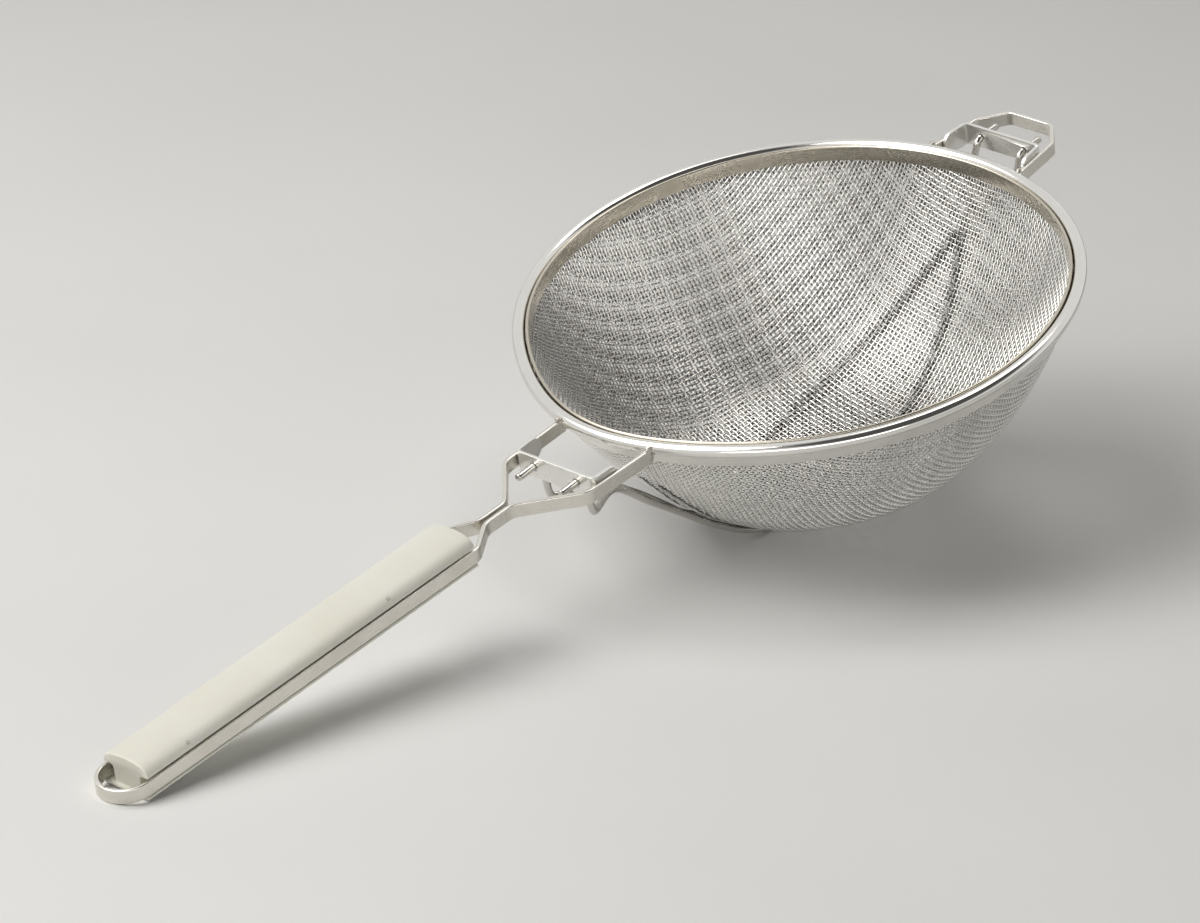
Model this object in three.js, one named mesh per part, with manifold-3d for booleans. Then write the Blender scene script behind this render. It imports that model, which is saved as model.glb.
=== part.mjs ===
// Double mesh strainer for kitchen and pastry work: a bowl of two wire cloths held in a rolled rim, a flat
// strip bent into the handle, a hook strip at the rear, two cross plates, and two guard wires hooked through
// the plates. Millimetres, +Z up. It lies as it does on a table, on its guard wires and on the end of its
// handle, with the handle along -X, the rear hook along +X and the origin on the table under the middle of
// its outline.
import * as THREE from "three";
import { mergeVertices } from "three/addons/utils/BufferGeometryUtils.js";
import Module from "manifold-3d";

// Rim and bowl. Heights are taken from the centre of the rim's bead, upwards.
const RIM_RADIUS = 130; // outside of the rolled bead
const BEAD_RADIUS = 3;
const RIM_SHEET = 0.8;
const ROLL_END_DEG = 225; // where the rolled sheet stops, from outside over the top
const SKIRT_DROP = 9.5; // lower edge of the sheet below the bead's centre
const HOOP_DROP = 5; // lower edge of the inner hoop
const HOOP_LIP_RADIUS = 0.8;
const BOWL_INSET = 7; // from the outside of the bead in to the cloth, at the skirt's lower edge
const BOWL_DEPTH = 98.5;
const BOWL_FULLNESS = 3; // power of the profile: 2 is a paraboloid, more is flatter at the bottom
const COARSE_CLOTH = 1;
const FINE_CLOTH = 0.7;
const CLOTH_TUCK = 0.7; // from the bead's underside down to the cloths' upper edges
// The weave is too fine to model, so a plain grid of openings through both cloths stands for it.
const CLOTH_CELLS = 10; // across the bowl
const CLOTH_OPEN = 0.66; // share of a cell's side that is open
const CLOTH_BORDER = 0.045; // share of the cloth's half width that stays whole under the rim

// Strip, bent on edge into the handle and the rear hook. Lengths run outwards from the rim.
const STRIP_HEIGHT = 6.8;
const STRIP_THICKNESS = 2;
const STRIP_EDGE = 0.5; // rounding of its edges
const STRIP_TOP = 1; // top edge above the bead's centre, at the rim
const LEG_SPREAD = 51; // between the middles of the two legs at the rim
const HANDLE_RISE_DEG = 1.5;
const LEG_LENGTH = 41.5;
const LEG_TAPER = 1.2; // how far each leg leans in from the rim to its elbow
const SHOULDER_LENGTH = 24.5;
const NECK_LENGTH = 17;
const NECK_GAP = 2;
const FLARE_LENGTH = 16;
const RAIL_SPREAD = 24.8; // between the middles of the two rails, which is also the loop's width
const STRIP_BEND = 9;
const HOOK_LENGTH = 26.4; // rim to the hook's side corners
const HOOK_TAPER = 2.8;
const HOOK_NOSE = 13.1; // side corners to the end bar
const HOOK_BAR = 24.4; // between the end bar's corners
const HOOK_BEND = 5;

// Grip, moulded round the two rails.
const GRIP_SETBACK = 2; // from the start of the rails to the grip
const GRIP_LENGTH = 198;
const GRIP_CROWN = 7.2; // dome above the strip
const GRIP_FULLNESS = 0.78; // 0.55 is an elliptical dome, 1 is square
const GRIP_WEB = 15.6; // thickness between the rails
const GRIP_SHY = 0.5; // how far the dome's sides stay inside the strip's outer faces
const GRIP_BASE = 1.3; // lip under the strip
const GRIP_FILLET = 1.5; // where the web meets dome and lip
const GRIP_END_ROUND = 1.2;

// Cross plates.
const PLATE_SHEET = 1.5;
const PLATE_HEIGHT = 10.6;
const PLATE_PROUD = 2.6; // how far a plate stands above the strip
const PLATE_EAR = 15;
const PLATE_BEND = 2;
const FRONT_PLATE_SETBACK = 6.4; // from the elbows towards the rim
const REAR_PLATE_SETBACK = 8.2; // from the hook's side corners towards the rim
const HOLE_PITCH = 25.2;
const HOLE_PLAY = 0.6;

// Guard wires.
const WIRE_RADIUS = 1.7;
const WIRE_TAIL = 10; // beyond the plate
const WIRE_BEND = 3.6;
const FOOT_DROP = 20; // from the front holes down to the foot
const FOOT_LEAN = 1.5;
const REAR_FOOT_DROP = 9; // from the rear holes down to the bend towards the bowl
const REAR_FOOT_LEAN = 3.5;
const CREST_REACH = 4; // outside the rim, where the two wires meet in front
const CREST_DROP = 26.5;
const REAR_MEET_INSET = 12; // inside the rim, where they meet again behind
const REAR_MEET_GAP = 3; // how far they have left the bowl there
// The wires are bent by hand, so each has its own bow between the meeting points: how far it stands out, and
// how far back it is fullest (1 is in the middle, more is further back). Lift raises its run from the crest.
const LEFT_BOW = { spread: 39, skew: 1.65, lift: 3 };
const RIGHT_BOW = { spread: 9, skew: 1, lift: 0 };

const CLEARANCE = 0.3; // between pieces that touch
const ROUND_STEPS = 56; // facets round the bowl's axis
const ROLL_STEPS = 8; // facets round the rim's bead
const BOW_STEPS = 9; // stations of a guard wire along the bowl
const POINT_STEPS = 3; // facets of a guard wire between two points of its route

const wasm = await Module();
wasm.setup();

const degrees = THREE.MathUtils.degToRad;

// A closed geometry as a solid that can be joined and cut.
function solidOf(geometry) {
  const loose = geometry.index ? geometry.toNonIndexed() : geometry;
  const bare = new THREE.BufferGeometry().setAttribute("position", loose.getAttribute("position"));
  const merged = mergeVertices(bare, 1e-4);
  return new wasm.Manifold(
    new wasm.Mesh({
      numProp: 3,
      vertProperties: merged.attributes.position.array,
      triVerts: new Uint32Array(merged.index.array),
    }),
  );
}

// The surface of a solid as a geometry.
function geometryOf(solid) {
  const { vertProperties, triVerts } = solid.getMesh();
  const geometry = new THREE.BufferGeometry();
  geometry.setAttribute("position", new THREE.BufferAttribute(new Float32Array(vertProperties), 3));
  geometry.setIndex(new THREE.BufferAttribute(new Uint32Array(triVerts), 1));
  geometry.computeVertexNormals();
  return geometry;
}

// A closed profile of (radius, height) points turned about the Z axis. The points run anticlockwise.
function turned(profile) {
  const closed = profile[0].x > 0 ? [...profile, profile[0]] : profile;
  return new THREE.LatheGeometry(closed, ROUND_STEPS).rotateX(Math.PI / 2);
}

// Points on an arc in the (radius, height) plane.
function arcPoints(centre, radius, fromDeg, toDeg, steps) {
  return Array.from({ length: steps + 1 }, (_, i) => {
    const angle = degrees(fromDeg + ((toDeg - fromDeg) * i) / steps);
    return new THREE.Vector2(centre.x + radius * Math.cos(angle), centre.y + radius * Math.sin(angle));
  });
}

// The outside of the bowl: a power curve from its bottom, through the skirt's lower edge, up to the bead.
const bowlRadius = RIM_RADIUS - BOWL_INSET;
const bowlRise = BOWL_DEPTH - SKIRT_DROP;
const clothTop = -(BEAD_RADIUS + CLOTH_TUCK);

function bowlHeight(radius) {
  return -BOWL_DEPTH + bowlRise * (Math.abs(radius) / bowlRadius) ** BOWL_FULLNESS;
}

function bowlSlope(radius) {
  return ((bowlRise * BOWL_FULLNESS) / bowlRadius) * (Math.abs(radius) / bowlRadius) ** (BOWL_FULLNESS - 1);
}

function bowlRadiusAt(height) {
  return bowlRadius * ((height + BOWL_DEPTH) / bowlRise) ** (1 / BOWL_FULLNESS);
}

const fineDepth = COARSE_CLOTH + CLEARANCE;
const clothsDepth = fineDepth + FINE_CLOTH;
const clothRadius = bowlRadiusAt(clothTop);
const clothTurn = Math.atan(bowlSlope(clothRadius));

// A point of the flat cloth, a square from -1 to 1 whose lines curve to fill a disc of radius 1.
function flatPoint(x, y) {
  return new THREE.Vector2(x * Math.sqrt(1 - y ** 2 / 2), y * Math.sqrt(1 - x ** 2 / 2));
}

// The same point laid into the bowl at a depth. The bowl takes the disc up as a ball would, which keeps the
// cells even.
function laidPoint(x, y, depth) {
  const flat = flatPoint(x, y);
  const radius = (clothRadius * Math.sin(clothTurn * flat.length())) / Math.sin(clothTurn);
  const slope = bowlSlope(radius);
  const shift = depth / Math.hypot(1, slope);
  flat.setLength(radius - slope * shift);
  return new THREE.Vector3(flat.x, flat.y, bowlHeight(radius) + shift);
}

// Where the cloth's ribs begin and end along one of its sides: edge, opening, rib, opening, and so on.
function clothLines() {
  const cell = (2 * (1 - CLOTH_BORDER)) / CLOTH_CELLS;
  const openings = Array.from({ length: CLOTH_CELLS }, (_, i) => {
    const middle = (i + 0.5 - CLOTH_CELLS / 2) * cell;
    return [middle - (CLOTH_OPEN * cell) / 2, middle + (CLOTH_OPEN * cell) / 2];
  });
  return [-1, ...openings.flat(), 1];
}

// One cloth: squares between the lines, inside and outside, with walls wherever a square has no neighbour.
// The odd squares are the openings, as long as they keep clear of the border.
function clothBowl(outerDepth, thickness) {
  const lines = clothLines();
  const count = lines.length;
  const depths = [outerDepth, outerDepth + thickness];
  const points = depths.flatMap((depth) =>
    lines.flatMap((y) => lines.flatMap((x) => laidPoint(x, y, depth).toArray())),
  );
  const farther = (i) => Math.max(Math.abs(lines[i]), Math.abs(lines[i + 1]));
  const isOpen = (i, j) =>
    i % 2 === 1 && j % 2 === 1 && flatPoint(farther(i), farther(j)).length() < 1 - CLOTH_BORDER;
  const isWhole = (i, j) => Math.min(i, j) >= 0 && Math.max(i, j) < count - 1 && !isOpen(i, j);
  const outside = ([i, j]) => j * count + i;
  const inside = ([i, j]) => count ** 2 + outside([i, j]);
  const faces = [];
  const quad = (a, b, c, d) => faces.push(a, b, c, a, c, d);
  for (let j = 0; j < count - 1; j += 1) {
    for (let i = 0; i < count - 1; i += 1) {
      if (!isWhole(i, j)) continue;
      const [a, b, c, d] = [[i, j], [i + 1, j], [i + 1, j + 1], [i, j + 1]];
      const wall = (from, to) => quad(outside(from), outside(to), inside(to), inside(from));
      quad(...[a, b, c, d].map(inside));
      quad(...[a, d, c, b].map(outside));
      if (!isWhole(i, j - 1)) wall(a, b);
      if (!isWhole(i + 1, j)) wall(b, c);
      if (!isWhole(i, j + 1)) wall(c, d);
      if (!isWhole(i - 1, j)) wall(d, a);
    }
  }
  const cloth = new THREE.BufferGeometry();
  cloth.setAttribute("position", new THREE.Float32BufferAttribute(points, 3));
  cloth.setIndex(faces);
  cloth.computeVertexNormals();
  return cloth;
}

const beadCentre = new THREE.Vector2(RIM_RADIUS - BEAD_RADIUS, 0);

// The rim's sheet: a sloping skirt whose lower edge presses on the cloth, rolled over into the bead.
function rimBand() {
  const foot = new THREE.Vector2(bowlRadius + CLEARANCE + RIM_SHEET, -SKIRT_DROP);
  const away = foot.clone().sub(beadCentre);
  const tangent = away.angle() + Math.acos(BEAD_RADIUS / away.length()) - 2 * Math.PI;
  const facing = new THREE.Vector2(Math.cos(tangent), Math.sin(tangent));
  const tangentDeg = THREE.MathUtils.radToDeg(tangent);
  return turned([
    foot,
    ...arcPoints(beadCentre, BEAD_RADIUS, tangentDeg, ROLL_END_DEG, ROLL_STEPS),
    ...arcPoints(beadCentre, BEAD_RADIUS - RIM_SHEET, ROLL_END_DEG, tangentDeg, ROLL_STEPS),
    foot.clone().addScaledVector(facing, -RIM_SHEET),
  ]);
}

// The hoop inside the rim: it presses the cloths outwards and ends in a small lip beside the bead.
function innerHoop() {
  const top = beadCentre.x - BEAD_RADIUS - CLEARANCE;
  const slope = bowlSlope(bowlRadius);
  const bottom = bowlRadiusAt(-HOOP_DROP) - (clothsDepth + CLEARANCE) * Math.hypot(1, 1 / slope);
  const lip = new THREE.Vector2(top - HOOP_LIP_RADIUS, 0);
  return turned([
    new THREE.Vector2(bottom - RIM_SHEET, -HOOP_DROP),
    new THREE.Vector2(bottom, -HOOP_DROP),
    ...arcPoints(lip, HOOP_LIP_RADIUS, 0, 180, 4),
    new THREE.Vector2(top - RIM_SHEET, -HOOP_LIP_RADIUS),
  ]);
}

function coreWire() {
  const radius = BEAD_RADIUS - RIM_SHEET - CLEARANCE;
  return new THREE.TorusGeometry(beadCentre.x, radius, ROLL_STEPS, ROUND_STEPS);
}

// Plan of a strip bent round corners [x, y, bend radius]: both faces run parallel, with arcs in the bends.
function stripPlan(corners, thickness) {
  const points = corners.map(([x, y]) => new THREE.Vector2(x, y));
  const bends = corners.slice(1, -1).map(([, , radius], i) => {
    const into = points[i + 1].clone().sub(points[i]).normalize();
    const out = points[i + 2].clone().sub(points[i + 1]).normalize();
    const turn = Math.atan2(into.cross(out), into.dot(out));
    const side = Math.sign(turn);
    const start = points[i + 1].clone().addScaledVector(into, -radius * Math.tan(Math.abs(turn) / 2));
    const centre = new THREE.Vector2(start.x - into.y * radius * side, start.y + into.x * radius * side);
    const from = Math.atan2(start.y - centre.y, start.x - centre.x);
    return { centre, radius, side, from, to: from + turn };
  });
  const offset = (point, along, distance) =>
    new THREE.Vector2(point.x - along.y * distance, point.y + along.x * distance);
  const last = points.length - 1;
  const first = points[1].clone().sub(points[0]).normalize();
  const final = points[last].clone().sub(points[last - 1]).normalize();
  const half = thickness / 2;
  const shape = new THREE.Shape();
  const right = offset(points[0], first, -half);
  const left = offset(points[0], first, half);
  shape.moveTo(right.x, right.y);
  shape.lineTo(left.x, left.y);
  for (const { centre, radius, side, from, to } of bends) {
    shape.absarc(centre.x, centre.y, radius - side * half, from, to, side < 0);
  }
  const leftEnd = offset(points[last], final, half);
  const rightEnd = offset(points[last], final, -half);
  shape.lineTo(leftEnd.x, leftEnd.y);
  shape.lineTo(rightEnd.x, rightEnd.y);
  for (const { centre, radius, side, from, to } of bends.toReversed()) {
    shape.absarc(centre.x, centre.y, radius + side * half, to, from, side > 0);
  }
  shape.closePath();
  return shape;
}

// A strip standing on edge, its top at height 0, with rounded edges.
function standingStrip(corners, thickness, height, edge, arcSteps) {
  return new THREE.ExtrudeGeometry(stripPlan(corners, thickness), {
    depth: height - 2 * edge,
    bevelEnabled: edge > 0,
    bevelThickness: edge,
    bevelSize: edge,
    bevelOffset: -edge,
    bevelSegments: 2,
    curveSegments: arcSteps,
  }).translate(0, 0, edge - height);
}

// The other half of a symmetric run of corners, in reverse, so that the strip goes round its end and back.
function mirrored(corners) {
  return corners.toReversed().map(([x, y, radius]) => [x, -y, radius]);
}

// How far behind the rim's foremost point a leg of a given half spread meets the bead.
function legRoot(halfSpread) {
  return RIM_RADIUS - Math.sqrt((RIM_RADIUS + CLEARANCE) ** 2 - (halfSpread + STRIP_THICKNESS / 2) ** 2);
}

const halfLeg = LEG_SPREAD / 2;
const halfRail = RAIL_SPREAD / 2;
const halfNeck = (NECK_GAP + STRIP_THICKNESS) / 2;
const neckStart = LEG_LENGTH + SHOULDER_LENGTH;
const neckEnd = neckStart + NECK_LENGTH;
const railStart = neckEnd + FLARE_LENGTH;
const gripStart = railStart + GRIP_SETBACK;
const gripEnd = gripStart + GRIP_LENGTH;
const handleEnd = gripEnd + halfRail;

// Handle strip in its own plane, running out along -X: leg, elbow, neck, rail, hanging loop and back.
function handleStrip() {
  const side = [
    [legRoot(halfLeg), -halfLeg, 0],
    [-LEG_LENGTH, LEG_TAPER - halfLeg, STRIP_BEND],
    [-neckStart, -halfNeck, STRIP_BEND],
    [-neckEnd, -halfNeck, STRIP_BEND],
    [-railStart, -halfRail, STRIP_BEND],
    [-handleEnd, -halfRail, halfRail],
  ];
  return standingStrip([...side, ...mirrored(side)], STRIP_THICKNESS, STRIP_HEIGHT, STRIP_EDGE, 3);
}

// Rear hook strip, running out along +X from the rim to its end bar and back.
function hookStrip() {
  const side = [
    [-legRoot(halfLeg), halfLeg, 0],
    [HOOK_LENGTH, halfLeg - HOOK_TAPER, HOOK_BEND],
    [HOOK_LENGTH + HOOK_NOSE, HOOK_BAR / 2, HOOK_BEND],
  ];
  return standingStrip([...side, ...mirrored(side)], STRIP_THICKNESS, STRIP_HEIGHT, STRIP_EDGE, 2);
}

// Cross plate between two legs, its web at x = 0 and its ears along +X, bent to lie inside the legs. The
// legs' half spread at the web and how much wider they stand at the ears' ends give its plan, and its middle
// is at height 0.
function crossPlate(halfSpread, widening) {
  const half = halfSpread - (STRIP_THICKNESS + PLATE_SHEET) / 2 - CLEARANCE;
  const plan = [
    [PLATE_EAR, half + widening, 0],
    [0, half, PLATE_BEND],
    [0, -half, PLATE_BEND],
    [PLATE_EAR, -half - widening, 0],
  ];
  const bent = standingStrip(plan, PLATE_SHEET, PLATE_HEIGHT, 0, 2).translate(0, 0, PLATE_HEIGHT / 2);
  const halfHeight = PLATE_HEIGHT / 2;
  const roundEnds = new THREE.Shape();
  roundEnds.moveTo(-PLATE_SHEET, halfHeight);
  roundEnds.lineTo(-PLATE_SHEET, -halfHeight);
  roundEnds.absarc(PLATE_EAR - halfHeight, 0, halfHeight, -Math.PI / 2, Math.PI / 2, false);
  roundEnds.closePath();
  const across = { depth: 2 * halfSpread, bevelEnabled: false, curveSegments: 6 };
  const trim = new THREE.ExtrudeGeometry(roundEnds, across)
    .rotateX(Math.PI / 2)
    .translate(0, halfSpread, 0);
  const holes = [1, -1].map((side) =>
    solidOf(
      new THREE.CylinderGeometry(WIRE_RADIUS + HOLE_PLAY, WIRE_RADIUS + HOLE_PLAY, 3 * PLATE_SHEET, 16)
        .rotateZ(Math.PI / 2)
        .translate(0, (side * HOLE_PITCH) / 2, 0),
    ),
  );
  const ears = solidOf(bent).intersect(solidOf(trim));
  return geometryOf(ears.subtract(holes[0]).subtract(holes[1]));
}

// Grip round the rails: a dome over the strip's top edges, a web between the rails and a lip below them.
function grip() {
  const outer = halfRail + STRIP_THICKNESS / 2;
  const web = GRIP_WEB / 2;
  const fillet = GRIP_FILLET;
  const dome = outer - GRIP_SHY;
  const below = -STRIP_HEIGHT - CLEARANCE;
  const base = below - GRIP_BASE;
  const section = new THREE.Shape();
  section.moveTo(-outer, base);
  section.lineTo(outer, base);
  section.lineTo(outer, below);
  section.absarc(web + fillet, below + fillet, fillet, -Math.PI / 2, -Math.PI, true);
  section.absarc(web + fillet, CLEARANCE - fillet, fillet, Math.PI, Math.PI / 2, true);
  section.lineTo(dome, CLEARANCE);
  const flank = GRIP_FULLNESS * GRIP_CROWN;
  const brow = GRIP_FULLNESS * dome;
  section.bezierCurveTo(dome, flank, brow, GRIP_CROWN, 0, GRIP_CROWN);
  section.bezierCurveTo(-brow, GRIP_CROWN, -dome, flank, -dome, CLEARANCE);
  section.absarc(-web - fillet, CLEARANCE - fillet, fillet, Math.PI / 2, 0, true);
  section.absarc(-web - fillet, below + fillet, fillet, 0, -Math.PI / 2, true);
  section.lineTo(-outer, below);
  section.closePath();
  const along = { depth: GRIP_LENGTH, bevelEnabled: false, curveSegments: 6 };
  const length = new THREE.ExtrudeGeometry(section, along)
    .rotateX(Math.PI / 2)
    .rotateZ(Math.PI / 2)
    .translate(-gripEnd, 0, 0);
  const round = GRIP_END_ROUND;
  const side = new THREE.Shape();
  side.moveTo(-gripEnd, base);
  side.lineTo(-gripStart, base);
  side.absarc(-gripStart - round, GRIP_CROWN - round, round, 0, Math.PI / 2, false);
  side.absarc(-gripEnd + round, GRIP_CROWN - round, round, Math.PI / 2, Math.PI, false);
  side.closePath();
  const across = { depth: 2 * outer, bevelEnabled: false, curveSegments: 3 };
  const ends = new THREE.ExtrudeGeometry(side, across)
    .rotateX(Math.PI / 2)
    .translate(0, outer, 0);
  return geometryOf(solidOf(length).intersect(solidOf(ends)));
}

// The two planes that carry strips and plates: the handle's, which rises a little, and the hook's.
const handlePlane = new THREE.Group();
handlePlane.position.set(-RIM_RADIUS, 0, STRIP_TOP);
handlePlane.rotation.y = degrees(HANDLE_RISE_DEG);
handlePlane.updateMatrix();
const hookPlane = new THREE.Group();
hookPlane.position.set(RIM_RADIUS, 0, STRIP_TOP);
hookPlane.updateMatrix();

const plateMiddle = PLATE_PROUD - PLATE_HEIGHT / 2;
const frontPlateX = FRONT_PLATE_SETBACK - LEG_LENGTH;
const rearPlateX = HOOK_LENGTH - REAR_PLATE_SETBACK;
const legLean = LEG_TAPER / LEG_LENGTH;
const hookLean = HOOK_TAPER / HOOK_LENGTH;

// Centre of a guard wire under the bowl at a station x: it follows the bowl's middle section from outside.
function underBowl(x) {
  return bowlHeight(x) - (WIRE_RADIUS + CLEARANCE) * Math.hypot(1, bowlSlope(x));
}

// The station where a straight run from the crest touches the bowl: the steepest line from crest to curve.
function touchStation(crestX, crestZ) {
  const fall = (x) => (underBowl(x) - crestZ) / (x - crestX);
  let best = -bowlRadius;
  for (let x = -bowlRadius; x < 0; x += 1) {
    if (fall(x) < fall(best)) best = x;
  }
  return best;
}

// Route of one guard wire, from its tail outside the front plate to its tail outside the rear plate. It drops
// to a foot behind the front plate, runs to a crest where the two wires meet, bows out under the bowl, meets
// its twin again, and rises to the rear plate.
function guardRoute(side, { spread, skew, lift }) {
  const holeY = (side * HOLE_PITCH) / 2;
  const meetY = side * (WIRE_RADIUS + CLEARANCE);
  const stand = PLATE_SHEET / 2 + CLEARANCE + WIRE_RADIUS;
  const leg = stand + WIRE_BEND - WIRE_RADIUS;
  const atFront = (x, drop) =>
    new THREE.Vector3(frontPlateX + x, holeY, plateMiddle - drop).applyMatrix4(handlePlane.matrix);
  const atRear = (x, drop) =>
    new THREE.Vector3(rearPlateX + x, holeY, plateMiddle - drop).applyMatrix4(hookPlane.matrix);
  const crestX = -RIM_RADIUS - CREST_REACH;
  const touchX = touchStation(crestX, -CREST_DROP);
  const meetX = RIM_RADIUS - REAR_MEET_INSET;
  const bow = (x) => {
    const t = (x - crestX) / (meetX - crestX);
    return meetY + side * spread * Math.sin(Math.PI * t ** skew);
  };
  const bend = WIRE_BEND;
  const soft = bend * (1 - Math.SQRT1_2);
  const run = [1 / 3, 2 / 3].map((share) => {
    const x = THREE.MathUtils.lerp(crestX, touchX, share);
    const z = THREE.MathUtils.lerp(-CREST_DROP, underBowl(touchX), share);
    return new THREE.Vector3(x, bow(x), z + lift * (1 - share));
  });
  const under = Array.from({ length: BOW_STEPS }, (_, i) => {
    const x = THREE.MathUtils.lerp(touchX, meetX, i / BOW_STEPS);
    return new THREE.Vector3(x, bow(x), underBowl(x));
  });
  return [
    atFront(-PLATE_SHEET / 2 - WIRE_TAIL, 0),
    atFront(leg - bend, 0),
    atFront(leg - soft, soft),
    atFront(leg, bend),
    atFront(leg + FOOT_LEAN, FOOT_DROP - bend),
    atFront(leg + FOOT_LEAN + soft, FOOT_DROP - soft),
    atFront(leg + FOOT_LEAN + bend, FOOT_DROP).setY(holeY - (side * bend) / 3),
    new THREE.Vector3(crestX, meetY, -CREST_DROP),
    ...run,
    ...under,
    new THREE.Vector3(meetX, meetY, underBowl(meetX) - REAR_MEET_GAP),
    atRear(-leg - REAR_FOOT_LEAN - bend / 2, REAR_FOOT_DROP + bend / 2).setY(holeY - (side * bend) / 3),
    atRear(-leg - REAR_FOOT_LEAN + soft, REAR_FOOT_DROP - soft),
    atRear(-leg, bend),
    atRear(-leg + soft, soft),
    atRear(-leg + bend, 0),
    atRear(PLATE_SHEET / 2 + WIRE_TAIL, 0),
  ];
}

// A round wire along a route, its steps shared evenly among the route's points, so that bends get the most.
function guardWire(route) {
  const curve = new THREE.CatmullRomCurve3(route);
  curve.getUtoTmapping = (u) => u;
  const section = new THREE.Shape().absarc(0, 0, WIRE_RADIUS, 0, 2 * Math.PI, false);
  const steps = POINT_STEPS * (route.length - 1);
  const along = { extrudePath: curve, steps, curveSegments: 4, bevelEnabled: false };
  return new THREE.ExtrudeGeometry(section, along);
}

const wireRoutes = { left: guardRoute(1, LEFT_BOW), right: guardRoute(-1, RIGHT_BOW) };

// The strainer's tilt at rest: the steepest line that runs from the handle's end under a guard wire.
function restTilt() {
  const loopEnd = -handleEnd - STRIP_THICKNESS / 2;
  const heel = new THREE.Vector3(loopEnd, 0, -STRIP_HEIGHT).applyMatrix4(handlePlane.matrix);
  const tilts = Object.values(wireRoutes).flatMap((route) => {
    const curve = new THREE.CatmullRomCurve3(route);
    return curve.getPoints(40 * route.length).map((point) => {
      const away = point.clone().sub(heel).setY(0);
      return Math.atan2(-away.z, away.x) + Math.asin(WIRE_RADIUS / away.length());
    });
  });
  return Math.max(...tilts);
}

const steel = { metalness: 1, roughness: 0.3, color: 0xc9c6bd };
const materials = {
  cloth: new THREE.MeshStandardMaterial({ ...steel, roughness: 0.4 }),
  polished: new THREE.MeshStandardMaterial({ ...steel, roughness: 0.15 }),
  satin: new THREE.MeshStandardMaterial(steel),
  ivory: new THREE.MeshStandardMaterial({ color: 0xe9e5d6, metalness: 0, roughness: 0.45 }),
};

function piece(name, geometry, material, parent) {
  const mesh = new THREE.Mesh(geometry, materials[material]);
  mesh.name = name;
  parent.add(mesh);
  return mesh;
}

// Scene graph: the strainer in its own level frame, turned into its resting tilt.
const strainer = new THREE.Group();
strainer.add(handlePlane, hookPlane);

piece("coarse_mesh_bowl", clothBowl(0, COARSE_CLOTH), "cloth", strainer);
piece("fine_mesh_bowl", clothBowl(fineDepth, FINE_CLOTH), "cloth", strainer);
piece("rim_band", rimBand(), "polished", strainer);
piece("rim_inner_hoop", innerHoop(), "satin", strainer);
piece("rim_core_wire", coreWire(), "satin", strainer);

piece("handle_strip", handleStrip(), "satin", handlePlane);
piece("handle_grip", grip(), "ivory", handlePlane);
const frontPlate = crossPlate(halfLeg + legLean * frontPlateX, legLean * PLATE_EAR);
piece("front_cross_plate", frontPlate, "satin", handlePlane).position.set(frontPlateX, 0, plateMiddle);

piece("rear_hook_strip", hookStrip(), "satin", hookPlane);
const rearPlate = crossPlate(halfLeg - hookLean * rearPlateX, hookLean * PLATE_EAR).rotateZ(Math.PI);
piece("rear_cross_plate", rearPlate, "satin", hookPlane).position.set(rearPlateX, 0, plateMiddle);

piece("guard_wire_left", guardWire(wireRoutes.left), "satin", strainer);
piece("guard_wire_right", guardWire(wireRoutes.right), "satin", strainer);

strainer.rotation.y = -restTilt();
const part = new THREE.Group();
part.add(strainer);
part.updateMatrixWorld(true);
const outline = new THREE.Box3().setFromObject(part, true);
const middle = outline.getCenter(new THREE.Vector3());
strainer.position.set(-middle.x, -middle.y, -outline.min.z);

export default part;
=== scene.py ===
"""Double mesh strainer: woven two-layer bowl, rolled rim, strip handle with an ivory grip, rear hook and guard wires.

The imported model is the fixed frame. Sizes are in millimetres in the strainer's own level frame, with the rim's bead
at height 0 and the handle along -X, and every mesh is moved into the resting frame, in metres, as it is made.
"""

import logging
import math
from dataclasses import dataclass, field
from enum import Enum

import bpy
import numpy as np
from mathutils import Matrix, Vector, noise


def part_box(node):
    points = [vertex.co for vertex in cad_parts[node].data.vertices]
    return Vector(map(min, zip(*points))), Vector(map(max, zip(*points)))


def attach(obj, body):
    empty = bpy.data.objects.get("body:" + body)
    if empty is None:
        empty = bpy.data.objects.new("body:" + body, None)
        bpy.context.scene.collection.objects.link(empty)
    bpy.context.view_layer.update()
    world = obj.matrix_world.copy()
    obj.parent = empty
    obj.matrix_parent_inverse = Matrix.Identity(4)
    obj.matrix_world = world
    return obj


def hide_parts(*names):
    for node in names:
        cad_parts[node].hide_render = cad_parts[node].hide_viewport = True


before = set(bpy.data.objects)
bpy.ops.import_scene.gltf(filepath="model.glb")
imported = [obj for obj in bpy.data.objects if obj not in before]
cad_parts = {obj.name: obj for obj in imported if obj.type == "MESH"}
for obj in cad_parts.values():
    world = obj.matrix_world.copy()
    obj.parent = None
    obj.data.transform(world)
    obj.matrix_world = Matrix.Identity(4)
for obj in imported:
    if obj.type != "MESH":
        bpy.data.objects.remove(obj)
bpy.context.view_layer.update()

LOG = logging.getLogger("strainer")
BODY = "root"
MM = 0.001
IMAGE_WIDTH = 1200
STRIP_TOP = 1.0  # Height of the strips' upper edges at the rim.
HANDLE_RISE = math.radians(1.5)  # Turn of the handle's plane about Y.
EDGE_REACH = 1.4  # How far wear reaches round an edge, in radii of its rounding.


class Slot(Enum):
    """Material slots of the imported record."""

    CLOTH = "wire_cloth"
    POLISHED = "polished_steel"
    SATIN = "satin_steel"
    IVORY = "ivory_plastic"


class Family(Enum):
    """The two families of wires in a woven cloth."""

    WARP = 0
    WEFT = 1


class Side(Enum):
    """Left and right of the handle, as signs along Y."""

    LEFT = 1
    RIGHT = -1


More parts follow.
